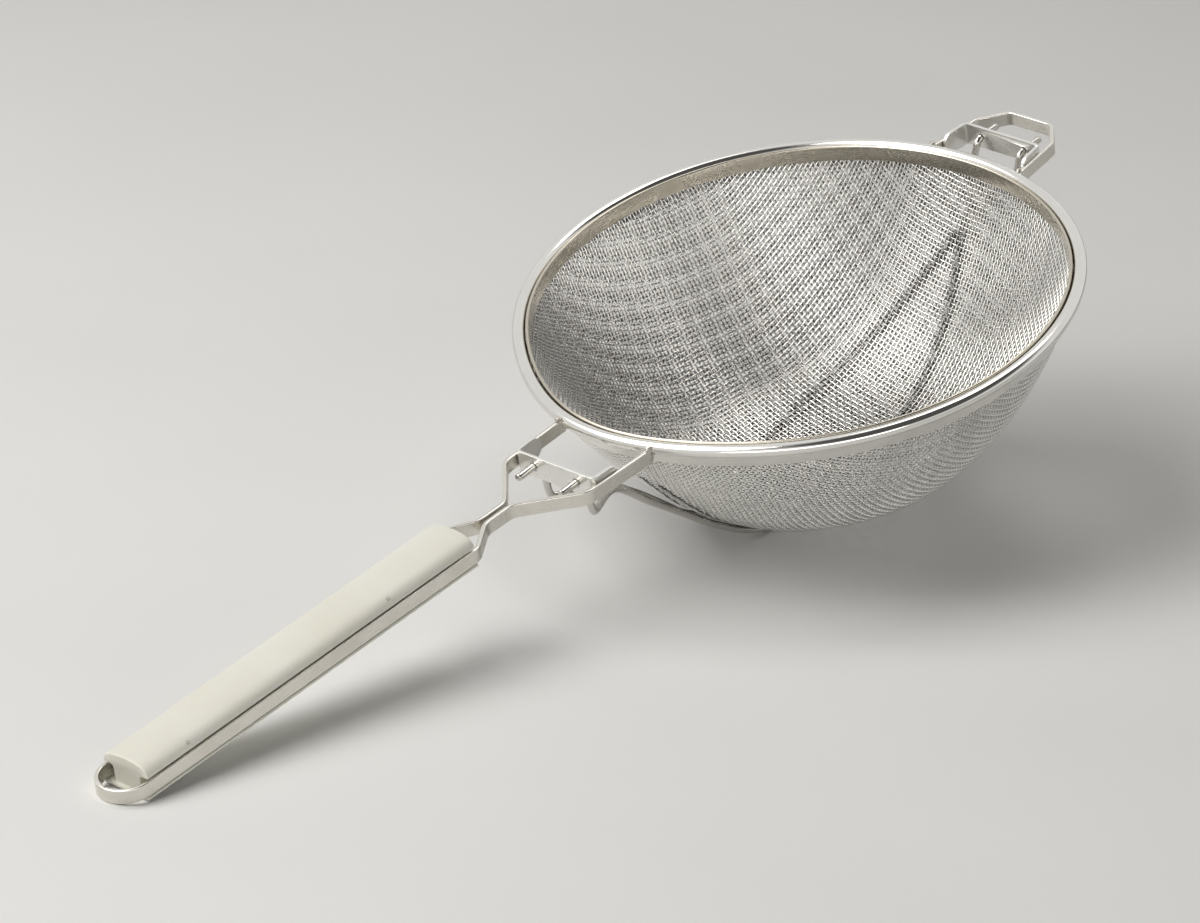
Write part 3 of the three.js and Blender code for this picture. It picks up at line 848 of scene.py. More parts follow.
@dataclass(frozen=True)
class WireCloth:
    """One woven layer of the bowl: two families of wires that cross over and under each other.

    Attributes:
        name: Start of its pieces' names.
        node: The CAD node that it replaces.
        pitch: Distance between neighbouring wires in the flat cloth.
        wire: Diameter of a wire.
        depth: Middle of the layer, inwards from the bowl's outside.
        turn: Turn of the weave about the bowl's axis, in degrees.
        sides: Sides of a wire's section.
        shows: The side kept bright, with painted shade on the other: 1 for the bowl's inside, -1 for its outside.
        backside_shade: How much darker a wire is painted on its side towards the other cloth, as painted shade.
        valley_shade: How much darker it is painted where it dips under another wire, as painted shade.
        weft_shade: How much darker the weft is painted than the warp, as painted shade.
        vary: How much duller or brighter single wires are.
        clean: Dullness that the painted shade and stains add to; below 0, more of a crown stays bright.
        guard_stain_and_shade: How much duller it is where a guard wire lies against the bowl.
        guard_stain_and_shade_fade: How far beyond the nearest points of the stained line the stain fades out.
    """

    name: str
    node: str
    pitch: float
    wire: float
    depth: float
    turn: float
    sides: int
    shows: int
    backside_shade: float = 0.5
    valley_shade: float = 0.45
    weft_shade: float = 0.12
    vary: float = 0.1
    clean: float = -0.2
    # guard_stain_and_shade: How much darker it is, as stain and painted shadow, where a guard wire lies against the bowl.         guard_stain_and_shade_fade: How far beyond the nearest points of the guard wire's line the stain and painted shadow fade out.
    guard_stain_and_shade: float = 0.65
    guard_stain_and_shade_fade: float = 1.5

    def lines(self, bowl: BowlShape, family: Family) -> list[tuple[np.ndarray, np.ndarray, np.ndarray]]:
        """Lays out one family of wires.

        Args:
            bowl: The bowl's curve.
            family: Which family.

        Returns:
            For each wire its points, the bowl's inward normal at each, and how far each is lifted inwards.
        """
        lengths, radii = bowl.lengths()
        reach = lengths[-1]
        count = int(reach / self.pitch)
        turn = math.radians(self.turn)
        found = []
        for i in range(-count, count):
            offset = (i + 0.5) * self.pitch
            end = math.sqrt(max(reach**2 - offset**2, 0))
            first = math.ceil(-end / self.pitch - 0.5)
            j = np.arange(first, -first)
            if len(j) < 3:
                continue
            along = np.concatenate([[-end], (j + 0.5) * self.pitch, [end]])
            sign = 1 if family is Family.WARP else -1
            crimp = np.concatenate([[0], np.where((i + j) % 2 == 0, 1.0, -1.0), [0]]) * sign * self.wire / 2
            flat = (along, np.full_like(along, offset))
            u, v = flat if family is Family.WARP else flat[::-1]
            r = np.interp(np.hypot(u, v), lengths, radii)
            angle = np.arctan2(v, u) + turn
            slope = bowl.slope(r)
            lean = np.hypot(1, slope)
            outward = np.stack([np.cos(angle), np.sin(angle)], -1)
            normal = np.concatenate([-outward * (slope / lean)[:, None], (1 / lean)[:, None]], 1)
            surface = np.concatenate([outward * r[:, None], bowl.height(r)[:, None]], 1)
            found.append((surface + normal * (self.depth + crimp)[:, None], normal, crimp))
        return found

    def stained_and_shaded(self, centres: np.ndarray, guarded: np.ndarray) -> np.ndarray:
        """Stain that the guard wires leave on a wire, with their painted shadow.

        Args:
            centres: Points of the wire.
            guarded: Points close together on the bowl's outside, where the guard wires press on it.

        Returns:
            The added dullness at each point.
        """
        apart = np.linalg.norm(centres[:, None] - guarded[None], axis=2).min(1)
        return self.guard_stain_and_shade * np.clip(self.depth + self.guard_stain_and_shade_fade - apart, 0, 1)

    def build(self, bench: Bench, guarded: np.ndarray) -> list[bpy.types.Object]:
        """Weaves the cloth, one piece for each family of wires.

        Args:
            bench: What it is built on.
            guarded: Points close together on the bowl's outside, where the guard wires press on it.

        Returns:
            The two pieces.
        """
        shades = np.random.default_rng(len(self.name))
        section = circle(self.wire / 2, self.sides)
        # Share of each section point that lies on the side away from the bright side, for painted shade.
        away = (1 - self.shows * section[None, :, 1] / (self.wire / 2)) / 2
        pieces = []
        for family in Family:
            draft = Draft()
            for centres, normals, crimp in self.lines(bench.bowl, family):
                # Painted shade: each wire is darker on its side towards the other cloth, where it dips under a crossing
                # wire, and all along the weft.
                dip_shade = (1 - self.shows * np.sign(crimp)[:, None]) / 2
                own = self.clean + shades.uniform(-self.vary, self.vary) + self.weft_shade * family.value
                # Stain and painted shadow where a guard wire lies under the bowl.
                marks = self.stained_and_shaded(centres, guarded)[:, None]
                tone = own + marks + self.backside_shade * away + self.valley_shade * dip_shade
                draft.sweep(bench.rim.drawn(centres), normals, section, tone=tone)
            piece = draft.make(f"{self.name}_{family.name.lower()}", bench.rest, [bench.finishes["cloth_wire"]])
            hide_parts(self.node)
            pieces.append(dress(piece))
        return pieces


def dress(piece: bpy.types.Object) -> bpy.types.Object:
    """Lets a piece ride on the part's one body, and reports it.

    Args:
        piece: The piece.

    Returns:
        The piece.
    """
    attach(piece, BODY)
    LOG.info("%s: %d faces", piece.name, len(piece.data.polygons))
    return piece


@dataclass(frozen=True)
class Rim:
    """The rolled rim: bead and skirt of one sheet, and the hoop that presses the cloths outwards.

    Attributes:
        radius: Outside of the bead.
        bead: Radius of the bead.
        sheet: Thickness of the sheet.
        roll_end: Where the roll stops, in degrees from outside over the top.
        hoop_drop: Lower edge of the hoop below the bead's centre.
        hem_rise: Middle of the hoop's rounded hem above that.
        lip: Radius of the hoop's lip.
        clearance: Gap between pieces that touch.
        cloths: Depth of the two cloths together.
        lip_rise: Height of the lip's middle.
        pull: How far the handle has drawn the rim out of round.
        pull_turn: Where it is drawn furthest, in degrees from the handle to the left.
        pull_spread: How far round that is felt, in degrees.
        pull_foot: Height where it starts to be felt.
        steps: Segments round the rim.
    """

    radius: float = 130.0
    bead: float = 3.0
    sheet: float = 0.8
    roll_end: float = 225.0
    hoop_drop: float = 5.0
    hem_rise: float = 0.3
    lip: float = 0.8
    clearance: float = 0.3
    cloths: float = 2.0
    lip_rise: float = 1.6
    pull: float = 7.0
    pull_turn: float = 6.0
    pull_spread: float = 25.0
    pull_foot: float = -60.0
    steps: int = 240

    @property
    def ring(self) -> float:
        """Radius of the bead's centre line."""
        return self.radius - self.bead

    @property
    def core(self) -> float:
        """Radius of the wire inside the bead."""
        return self.bead - self.sheet - self.clearance

    def drawn(self, points: np.ndarray) -> np.ndarray:
        """Draws points out towards the handle, as the real rim is a little out of round there.

        Args:
            points: Points of the bowl or the rim, in the strainer's frame.

        Returns:
            The moved points.
        """
        away = np.degrees(np.arctan2(points[..., 1], -points[..., 0])) - self.pull_turn
        risen = np.clip((points[..., 2] - self.pull_foot) / -self.pull_foot, 0, 1)
        moved = np.array(points, float)
        moved[..., 0] -= self.pull * np.exp(-((away / self.pull_spread) ** 2)) * risen**2 * (3 - 2 * risen)
        return moved

    def pulled(self, across: float) -> float:
        """How far the bead is drawn out beside the handle."""
        spot = np.array([-self.ring, across, 0.0])
        return float(spot[0] - self.drawn(spot)[0])

    def _turned(
        self, name: str, outline: np.ndarray, slots: np.ndarray, rest: RestingFrame, materials: list[bpy.types.Material]
    ) -> bpy.types.Object:
        """Turns a closed outline of (radius, height) points about the bowl's axis.

        Args:
            name: The piece's name.
            outline: The points, anticlockwise.
            slots: Material number of each segment.
            rest: The resting frame.
            materials: The materials.

        Returns:
            The piece.
        """
        angle = np.arange(self.steps) * 2 * math.pi / self.steps
        centres = np.stack([np.cos(angle), np.sin(angle), 0 * angle], -1) * self.ring
        ups = np.tile([0.0, 0.0, 1.0], (self.steps, 1))
        draft = Draft()
        draft.sweep(centres, ups, outline - [self.ring, 0], closed=True, slots=slots)
        draft.points = [self.drawn(points) for points in draft.points]
        return draft.make(name, rest, materials)

    def build(self, bench: Bench) -> list[bpy.types.Object]:
        """Builds the rim's sheet, its hoop and the wire inside the bead.

        Args:
            bench: What it is built on.

        Returns:
            The pieces.
        """
        bowl, rest, finishes = bench.bowl, bench.rest, bench.finishes
        foot = np.array([bowl.radius + self.clearance + self.sheet, -bowl.skirt_drop])
        away = foot - [self.ring, 0]
        tangent = math.degrees(math.atan2(away[1], away[0]) + math.acos(self.bead / np.hypot(*away)))
        facing = np.array([math.cos(math.radians(tangent)), math.sin(math.radians(tangent))])
        hem = arc(tuple(foot - facing * self.sheet / 2), self.sheet / 2, tangent - 180, tangent, 6)
        outer = arc((self.ring, 0), self.bead, tangent, self.roll_end, 36)
        lip = arc(
            tuple(outer[-1] - (outer[-1] - [self.ring, 0]) * self.sheet / self.bead / 2),
            self.sheet / 2, self.roll_end, self.roll_end + 180, 4,
        )
        inner = arc((self.ring, 0), self.bead - self.sheet, self.roll_end, tangent, 24)
        outline = held(np.concatenate([hem, outer, lip[1:-1], inner]), 0.4, closed=True)
        slots = (outline[:, 1] < outer[0, 1] - 0.1).astype(int)
        # The skirt's colour, lighter than the bead's, is painted light.
        materials = [finishes["polished_bead"], finishes["satin_skirt_painted_light"]]
        band = self._turned("rim_rolled_band", outline, slots, rest, materials)
        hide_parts("rim_band")
        top = self.ring - self.bead - self.clearance
        slope = float(bowl.slope(bowl.radius))
        bottom = bowl.radius_at(-self.hoop_drop) - (self.cloths + self.clearance) * math.hypot(1, 1 / slope)
        hoop = np.concatenate([
            arc((bottom - self.sheet / 2, -self.hoop_drop + self.hem_rise), self.sheet / 2, 180, 360, 6),
            arc((top - self.lip, self.lip_rise), self.lip, 0, 180, 12),
        ])
        ring = self._turned("rim_pressed_hoop", hoop, np.zeros(len(hoop), int), rest, [finishes["tan_hoop"]])
        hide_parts("rim_inner_hoop")
        wire = circle(self.core, 12) + [self.ring, 0]
        core = self._turned("rim_bent_core", wire, np.zeros(len(wire), int), rest, [finishes["drawn_wire"]])
        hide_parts("rim_core_wire")
        return [dress(band), dress(ring), dress(core)]


@dataclass(frozen=True)
class Strip:
    """Flat strip that stands on edge.

    Attributes:
        height: Its height.
        thickness: Its thickness.
        edge: Rounding of its edges.
        bend_steps: Segments in a quarter bend.
    """

    height: float = 6.8
    thickness: float = 2.0
    edge: float = 0.5
    bend_steps: int = 14

    def bent(self, corners: list[tuple[float, float, float]], plane: StripPlane) -> Draft:
        """Bends the strip round corners in a plane.

        Args:
            corners: (x, y, bend radius) of one half, from the rim outwards. The other half mirrors it.
            plane: The plane, whose height 0 is the strip's top.

        Returns:
            A draft of the strip.
        """
        back = [(x, -y, radius) for x, y, radius in reversed(corners)]
        line = held(bent_line([*corners, *back], self.bend_steps), 0.6)
        ups = np.tile([0.0, 0.0, 1.0], (len(line), 1))
        outline, edge = rounded_bar(self.thickness, -self.height, 0.0, self.edge)
        turned_ups = plane.place(ups) - plane.place(np.zeros((1, 3)))
        draft = Draft()
        draft.sweep(plane.place(line), turned_ups, outline, edge=edge)
        return draft


@dataclass(frozen=True)
class Handle:
    """Strip handle with two legs, a neck, two rails and a hanging loop, and the ivory grip moulded round the rails.

    Attributes:
        leg_spread: Between the legs' middles at the rim.
        leg: Length of a leg.
        taper: How far a leg leans in.
        shoulder: Length from the elbows to the neck.
        neck: Length of the neck.
        neck_gap: Gap between the strips in the neck.
        flare: Length from the neck to the rails.
        rail_spread: Between the rails' middles.
        bend: Bend radius.
        setback: From the rails' start to the grip.
        grip: Length of the grip.
        crown: Dome above the strip.
        fullness: Fullness of the dome.
        web: Thickness between the rails.
        shy: How far the dome stays inside the strip's faces.
        groove: Shadow gap between the dome and the strip.
        base: Thickness of the lip under the strip.
        fillet: Where the web meets dome and lip.
        end_round: Rounding of the dome's ends.
        lip_reach: How far the lip reaches past the dome into the loop.
        lip_edge: Rounding of the lip's edges.
        seat: Gap between the strip and the lip.
        gates: Places of the gate marks, as shares of the grip's length and of its flank.
        strip: The strip.
    """

    leg_spread: float = 51.0
    leg: float = 41.5
    taper: float = 1.2
    shoulder: float = 24.5
    neck: float = 17.0
    neck_gap: float = 2.0
    flare: float = 16.0
    rail_spread: float = 24.8
    bend: float = 9.0
    setback: float = 2.0
    grip: float = 198.0
    crown: float = 7.2
    fullness: float = 0.7
    web: float = 15.6
    shy: float = 0.35
    groove: float = 1.0
    base: float = 1.3
    fillet: float = 1.5
    end_round: float = 0.8
    lip_reach: float = 1.8
    lip_edge: float = 0.45
    seat: float = 0.3
    gates: tuple[tuple[float, float], ...] = ((0.263, 0.36), (0.874, 0.30))
    strip: Strip = Strip()

    @property
    def dome(self) -> float:
        """Half width of the dome."""
        return self.rail_spread / 2 + self.strip.thickness / 2 - self.shy

    @property
    def stations(self) -> dict[str, float]:
        """Distances outwards from the rim.

        Returns:
            The neck's start and end, the rails' start, and the grip's start and end.
        """
        neck_start = self.leg + self.shoulder
        neck_end = neck_start + self.neck
        rails = neck_end + self.flare
        start = rails + self.setback
        return {"neck": neck_start, "neck_end": neck_end, "rails": rails, "grip": start, "grip_end": start + self.grip}

    def corners(self, rim: Rim) -> list[tuple[float, float, float]]:
        """Corners of the strip's right half, from the rim out to the loop.

        Args:
            rim: The rim that the leg meets.

        Returns:
            (x, y, bend radius) of each corner.
        """
        half_leg, half_rail = self.leg_spread / 2, self.rail_spread / 2
        half_neck = (self.neck_gap + self.strip.thickness) / 2
        at = self.stations
        return [
            (leg_root(rim, half_leg + self.strip.thickness / 2) - rim.pulled(-half_leg), -half_leg, 0),
            (-self.leg, self.taper - half_leg, self.bend),
            (-at["neck"], -half_neck, self.bend),
            (-at["neck_end"], -half_neck, self.bend),
            (-at["rails"], -half_rail, self.bend),
            (-at["grip_end"] - half_rail, -half_rail, half_rail),
        ]

    def _flank(self, crown: float, share: np.ndarray) -> np.ndarray:
        """Points of the dome's right half.

        Args:
            crown: Height of the dome above the strip.
            share: Where on it, from 0 at its foot to 1 at its top.

        Returns:
            Points (across, up).
        """
        dome = self.dome
        t = np.asarray(share, float)[:, None]
        foot, flank = np.array([dome, self.groove + 0.3]), np.array([dome, self.fullness * crown])
        brow, top = np.array([self.fullness * dome, crown]), np.array([0.0, crown])
        return (1 - t) ** 3 * foot + 3 * t * (1 - t) ** 2 * flank + 3 * t**2 * (1 - t) * brow + t**3 * top

    def _section(self, crown: float) -> tuple[np.ndarray, np.ndarray]:
        """Section of the grip above its lip.

        Args:
            crown: Height of the dome above the strip.

        Returns:
            Points (across, up) anticlockwise, and how far each is an edge.
        """
        dome, web, below = self.dome, self.web / 2, -self.strip.height - self.seat
        side = self._flank(crown, np.linspace(0, 1, 15))
        right = np.concatenate([
            [[web + self.fillet, below]],
            arc((web + self.fillet, below + self.fillet), self.fillet, 270, 180, 5),
            arc((web + self.fillet, self.groove - self.fillet), self.fillet, 180, 90, 5),
            [[dome - 0.4, self.groove], [dome - 0.1, self.groove + 0.1]],
            side,
        ])
        left = right[-2::-1] * [-1, 1]
        outline = np.concatenate([right, left])
        return outline, np.clip(1 - np.abs(outline[:, 1] - 1.5) / 1.6, 0, 1)

    def build_strip(self, bench: Bench) -> bpy.types.Object:
        """Builds the bent strip.

        Args:
            bench: What it is built on.

        Returns:
            The piece.
        """
        draft = self.strip.bent(self.corners(bench.rim), bench.handle)
        piece = draft.make("handle_bent_strip", bench.rest, [bench.finishes["satin_strip"]])
        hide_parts("handle_strip")
        return dress(piece)

    def build_grip(self, bench: Bench) -> bpy.types.Object:
        """Builds the moulded grip: dome and web, the lip below, and two gate marks.

        Args:
            bench: What it is built on.

        Returns:
            The piece.
        """
        draft, plane = Draft(), bench.handle
        at = self.stations
        ease = np.linspace(0, 90, 8)
        lead = self.end_round * (1 - np.cos(np.radians(ease)))
        drop = self.end_round * (1 - np.sin(np.radians(ease)))
        starts, ends = at["grip"] + lead, at["grip_end"] - lead
        middle = np.linspace(starts[-1], ends[-1], 24)[1:-1]
        stations = np.concatenate([starts, middle, ends[::-1]])
        drops = np.concatenate([drop, 0 * middle, drop[::-1]])
        rows, edge = [], None
        for x, lowered in zip(stations, drops):
            outline, edge = self._section(self.crown - lowered)
            squeeze = 1 - 0.6 * lowered / (self.rail_spread / 2)
            rows.append(np.stack([np.full(len(outline), -x), -outline[:, 0] * squeeze, outline[:, 1]], -1))
        draft.loft(plane.place(np.array(rows).reshape(-1, 3)).reshape(len(rows), -1, 3), edge=edge)
        outer = self.rail_spread + self.strip.thickness
        below = -self.strip.height - self.seat
        outline, edge = rounded_bar(outer, below - self.base, below, self.lip_edge)
        lip = held(np.array([[-at["grip"], 0, 0], [-at["grip_end"] - self.lip_reach, 0, 0]]), 0.5)
        up = plane.place(np.array([[0, 0, 1.0]])) - plane.place(np.zeros((1, 3)))
        draft.sweep(plane.place(lip), np.repeat(up, len(lip), 0), outline, edge=edge)
        for along, up in self.gates:
            self._gate(draft, plane, at["grip"] + along * self.grip, up)
        plastics = [bench.finishes["ivory_plastic"], bench.finishes["gate_mark_painted_shade"]]
        piece = draft.make("handle_ivory_grip", bench.rest, plastics)
        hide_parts("handle_grip")
        return dress(piece)

    def _gate(self, draft: Draft, plane: StripPlane, x: float, up: float) -> None:
        """Adds a small round gate mark on the dome's right flank, raised, and coloured darker as painted shade of a
        pit.

        Args:
            draft: The grip's draft.
            plane: The handle's plane.
            x: Its distance outwards from the rim.
            up: Its place on the flank, from 0 at the foot to 1 at the top.
        """
        low, spot, high = self._flank(self.crown, np.array([up - 0.02, up, up + 0.02]))
        rise = unit((high - low)[None])[0]
        out = np.array([rise[1], -rise[0]])
        rows = []
        for radius, lift in ((0.95, -0.3), (0.9, 0.1), (0.55, 0.14)):
            ring = circle(radius, 12)
            flat = spot + out * lift + ring[:, 1:] * rise
            rows.append(np.stack([ring[:, 0] - x, -flat[:, 0], flat[:, 1]], -1))
        grid = np.array(rows)
        draft.loft(plane.place(grid.reshape(-1, 3)).reshape(grid.shape), slots=np.ones(12, int))


def leg_root(rim: Rim, half_spread: float) -> float:
    """How far behind the rim's foremost point a leg with this outer half spread meets the bead."""
    return rim.radius - math.sqrt((rim.radius + rim.clearance) ** 2 - half_spread**2)


@dataclass(frozen=True)
class RearHook:
    """Strip hook at the rear, which rests on a pot's far rim.

    Attributes:
        spread: Between the legs' middles at the rim.
        length: Rim to the side corners.
        taper: How far a leg leans in.
        nose: Side corners to the end bar.
        bar: Between the end bar's corners.
        bend: Bend radius.
        strip: The strip.
    """

    spread: float = 51.0
    length: float = 26.4
    taper: float = 2.8
    nose: float = 13.1
    bar: float = 24.4
    bend: float = 5.0
    strip: Strip = Strip()

    def build(self, bench: Bench) -> bpy.types.Object:
        """Builds the bent strip.

        Args:
            bench: What it is built on.

        Returns:
            The piece.
        """
        half = self.spread / 2
        corners = [
            (-leg_root(bench.rim, half + self.strip.thickness / 2), half, 0),
            (self.length, half - self.taper, self.bend),
            (self.length + self.nose, self.bar / 2, self.bend),
        ]
        draft = self.strip.bent(corners, bench.hook)
        piece = draft.make("rear_bent_hook", bench.rest, [bench.finishes["satin_strip"]])
        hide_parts("rear_hook_strip")
        return dress(piece)


@dataclass(frozen=True)
class CrossPlates:
    """The two bent plates between the legs, as packed, with broken edges.

    Attributes:
        edge: Rounding of the edges.
        sharp: Least turn at an edge that is rounded, in degrees.
        weld_gap: Vertices closer than this are joined.
        tone: Shade of both plates.
    """

    edge: float = 0.28
    sharp: float = 40.0
    weld_gap: float = 0.005
    tone: float = 0.6

    def dress(self, node: str, bench: Bench) -> bpy.types.Object:
        """Finishes one packed plate.

        Args:
            node: The CAD node.
            bench: What it is built on.

        Returns:
            The node's object.
        """
        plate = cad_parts[node]
        plate.data.materials.clear()
        plate.data.materials.append(bench.finishes["bright_plate"])
        self._lay_grain(plate, bench.rest)
        weld = plate.modifiers.new("joined", "WELD")
        weld.merge_threshold = self.weld_gap * MM
        bevel = plate.modifiers.new("broken_edges", "BEVEL")
        bevel.width = self.edge * MM
        bevel.segments = 3
        bevel.limit_method = "ANGLE"
        bevel.angle_limit = math.radians(self.sharp)
        plate.modifiers.new("even_faces", "WEIGHTED_NORMAL").weight = 100
        plate.data.polygons.foreach_set("use_smooth", np.ones(len(plate.data.polygons), bool))
        LOG.info("%s: packed plate with broken edges", node)
        return plate

    def _lay_grain(self, plate: bpy.types.Object, rest: RestingFrame) -> None:
        """Gives a packed plate the texture places and the tone that its finish reads.

        Args:
            plate: The node's object.
            rest: The resting frame.
        """
        mesh = plate.data
        spots = np.empty(len(mesh.vertices) * 3, np.float32)
        mesh.vertices.foreach_get("co", spots)
        turned = np.array(plate.matrix_world)
        x, y, z = rest.level(spots.reshape(-1, 3) @ turned[:3, :3].T + turned[:3, 3]).T * MM
        corners = np.empty(len(mesh.loops), np.int32)
        mesh.loops.foreach_get("vertex_index", corners)
        layer = mesh.uv_layers.new(name="run")
        layer.uv.foreach_set("vector", np.stack([x + y, z], -1)[corners].astype(np.float32).ravel())
        tone = mesh.attributes.new("tone", "FLOAT", "POINT")
        tone.data.foreach_set("value", np.full(len(mesh.vertices), self.tone, np.float32))


@dataclass(frozen=True)
class Bow:
    """How one hand-bent guard wire bows out under the bowl.

    Attributes:
        spread: How far it stands out.
        skew: How far back it is fullest.
        lift: How far its front run is raised.
    """

    spread: float
    skew: float
    lift: float


@dataclass(frozen=True)
class GuardWires:
    """The two wires that guard the bowl from below, hooked through the cross plates.

    Attributes:
        radius: Radius of the wire.
        bend: Bend at the hooks.
        tail: Length beyond a plate.
        pitch: Between the holes.
        sheet: Thickness of a plate.
        plate_middle: Middle of a plate above the strip's top.
        front_plate: Front plate's place in the handle's plane.
        rear_plate: Rear plate's place in the hook's plane.
        foot: Drop of the front foot.
        foot_lean: Lean of the front foot.
        rear_foot: Drop of the rear foot.
        rear_lean: Lean of the rear foot.
        crest_reach: Where the wires meet in front, outside the rim.
        crest_drop: Height of that point below the bead.
        meet_inset: Where they meet behind, inside the rim.
        meet_gap: How far they have left the bowl there.
        shade_top: Height below which the side towards the cloth gets painted shade.
        shade_fade: How far below that the painted shade is full.
        give: How far a full bowl sags towards the wires.
        press_end: Where the bowl stops sagging, inside the rim.
        press_steps: Radii that are tried for the points where it presses.
        stations: Points of the route along the bowl.
        sides: Sides of the section.
        steps: Segments between two points of the route.
        left: Bow of the left wire.
        right: Bow of the right wire.
    """

    radius: float = 1.7
    bend: float = 3.6
    tail: float = 10.0
    pitch: float = 25.2
    sheet: float = 1.5
    plate_middle: float = -2.7
    front_plate: float = -35.1
    rear_plate: float = 18.2
    foot: float = 20.0
    foot_lean: float = 1.5
    rear_foot: float = 9.0
    rear_lean: float = 3.5
    crest_reach: float = 4.0
    crest_drop: float = 26.5
    meet_inset: float = 12.0
    meet_gap: float = 3.0
    shade_top: float = -30.0
    shade_fade: float = 20.0
    give: float = 9.0
    press_end: float = 18.0
    press_steps: int = 600
    stations: int = 9
    sides: int = 16
    steps: int = 10
    left: Bow = Bow(39.0, 1.65, 3.0)
    right: Bow = Bow(9.0, 1.0, 0.0)

    def under(self, bowl: BowlShape, rim: Rim, x: float) -> float:
        """Height of a wire's centre under the bowl at a station."""
        return float(bowl.height(x) - (self.radius + rim.clearance) * math.hypot(1, float(bowl.slope(x))))

    def route(self, side: Side, bench: Bench) -> np.ndarray:
        """Points that one wire passes, from its front tail to its rear tail.

        Args:
            side: Which wire.
            bench: What it is built on.

        Returns:
            The points in the strainer's frame.
        """
        rim, bowl = bench.rim, bench.bowl
        sign, bow = side.value, self.left if side is Side.LEFT else self.right
        hole, meet = sign * self.pitch / 2, sign * (self.radius + rim.clearance)
        bend, soft = self.bend, self.bend * (1 - math.sqrt(0.5))
        leg = self.sheet / 2 + rim.clearance + bend
        crest, last = -rim.radius - self.crest_reach, rim.radius - self.meet_inset
        tries = np.arange(-bowl.radius, 0, 1.0)
        falls = [(self.under(bowl, rim, x) + self.crest_drop) / (x - crest) for x in tries]
        touch = float(tries[int(np.argmin(falls))])
        eased = hole - sign * bend / 3

        def front(x: float, drop: float, y: float = hole) -> np.ndarray:
            """A point at the front plate."""
            return bench.handle.place([self.front_plate + x, 0, self.plate_middle - drop]) + [0, y, 0]

        def rear(x: float, drop: float, y: float = hole) -> np.ndarray:
            """A point at the rear plate."""
            return bench.hook.place([self.rear_plate + x, 0, self.plate_middle - drop]) + [0, y, 0]

        def out(x: float) -> float:
            """How far the wire stands from the middle."""
            return meet + sign * bow.spread * math.sin(math.pi * ((x - crest) / (last - crest)) ** bow.skew)

        low = self.under(bowl, rim, touch)
        run = []
        for share in (1 / 3, 2 / 3):
            x = crest + (touch - crest) * share
            z = -self.crest_drop + (low + self.crest_drop) * share + bow.lift * (1 - share)
            run.append(np.array([x, out(x), z]))
        below = [
            np.array([x, out(x), self.under(bowl, rim, x)])
            for x in touch + (last - touch) * np.arange(self.stations) / self.stations
        ]
        return np.array([
            front(-self.sheet / 2 - self.tail, 0),
            front(leg - bend, 0),
            front(leg - soft, soft),
            front(leg, bend),
            front(leg + self.foot_lean, self.foot - bend),
            front(leg + self.foot_lean + soft, self.foot - soft),
            front(leg + self.foot_lean + bend, self.foot, eased),
            np.array([crest, meet, -self.crest_drop]),
            *run,
            *below,
            np.array([last, meet, self.under(bowl, rim, last) - self.meet_gap]),
            rear(-leg - self.rear_lean - bend / 2, self.rear_foot + bend / 2, eased),
            rear(-leg - self.rear_lean + soft, self.rear_foot - soft),
            rear(-leg, bend),
            rear(-leg + soft, soft),
            rear(-leg + bend, 0),
            rear(self.sheet / 2 + self.tail, 0),
        ])

    def pressed(self, side: Side, bench: Bench) -> np.ndarray:
        """Finds where a full bowl presses on one wire.

        Args:
            side: Which wire.
            bench: What it is built on.

        Returns:
            Points close together on the bowl's outside, in the strainer's frame.
        """
        bowl = bench.bowl
        line = smooth_line(self.route(side, bench), self.steps * 4)
        across = np.hypot(line[:, 0], line[:, 1])
        radii = np.linspace(0, bench.rim.radius - self.press_end, self.press_steps)
        gaps = np.hypot(radii - across[:, None], bowl.height(radii) - line[:, 2:])
        near = gaps.min(1) < self.give
        nearest = radii[gaps.argmin(1)][near]
        outward = line[near, :2] / across[near, None]
        return np.concatenate([outward * nearest[:, None], bowl.height(nearest)[:, None]], 1)

    def build(self, bench: Bench) -> list[bpy.types.Object]:
        """Builds both wires.

        Args:
            bench: What they are built on.

        Returns:
            The two pieces.
        """
        ring = circle(self.radius, self.sides)
        tips = [(0, -0.45, 0.78), (0, -0.3, 0.93), (-1, 0.3, 0.93), (-1, 0.45, 0.78)]
        pieces = []
        for side in Side:
            line = smooth_line(self.route(side, bench), self.steps)
            ahead = unit(np.gradient(line, axis=0))
            grid = set_across(line, ahead, minimal_ups(line), ring)
            caps = [line[n] + ahead[n] * step + (grid[n] - line[n]) * size for n, step, size in tips]
            grid = np.concatenate([caps[:2], grid, caps[2:]])
            # Painted shade: under the bowl, each wire's upper side is darkened.
            upward = np.clip((grid - grid.mean(1, keepdims=True))[..., 2] / self.radius, 0, 1)
            below = np.clip((self.shade_top - grid[..., 2]) / self.shade_fade, 0, 1)
            draft = Draft()
            draft.loft(grid, tone=0.2 + 0.8 * upward * below)
            word = side.name.lower()
            piece = draft.make(f"guard_wire_{word}_bent", bench.rest, [bench.finishes["drawn_wire"]])
            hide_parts(f"guard_wire_{word}")
            pieces.append(dress(piece))
        return pieces


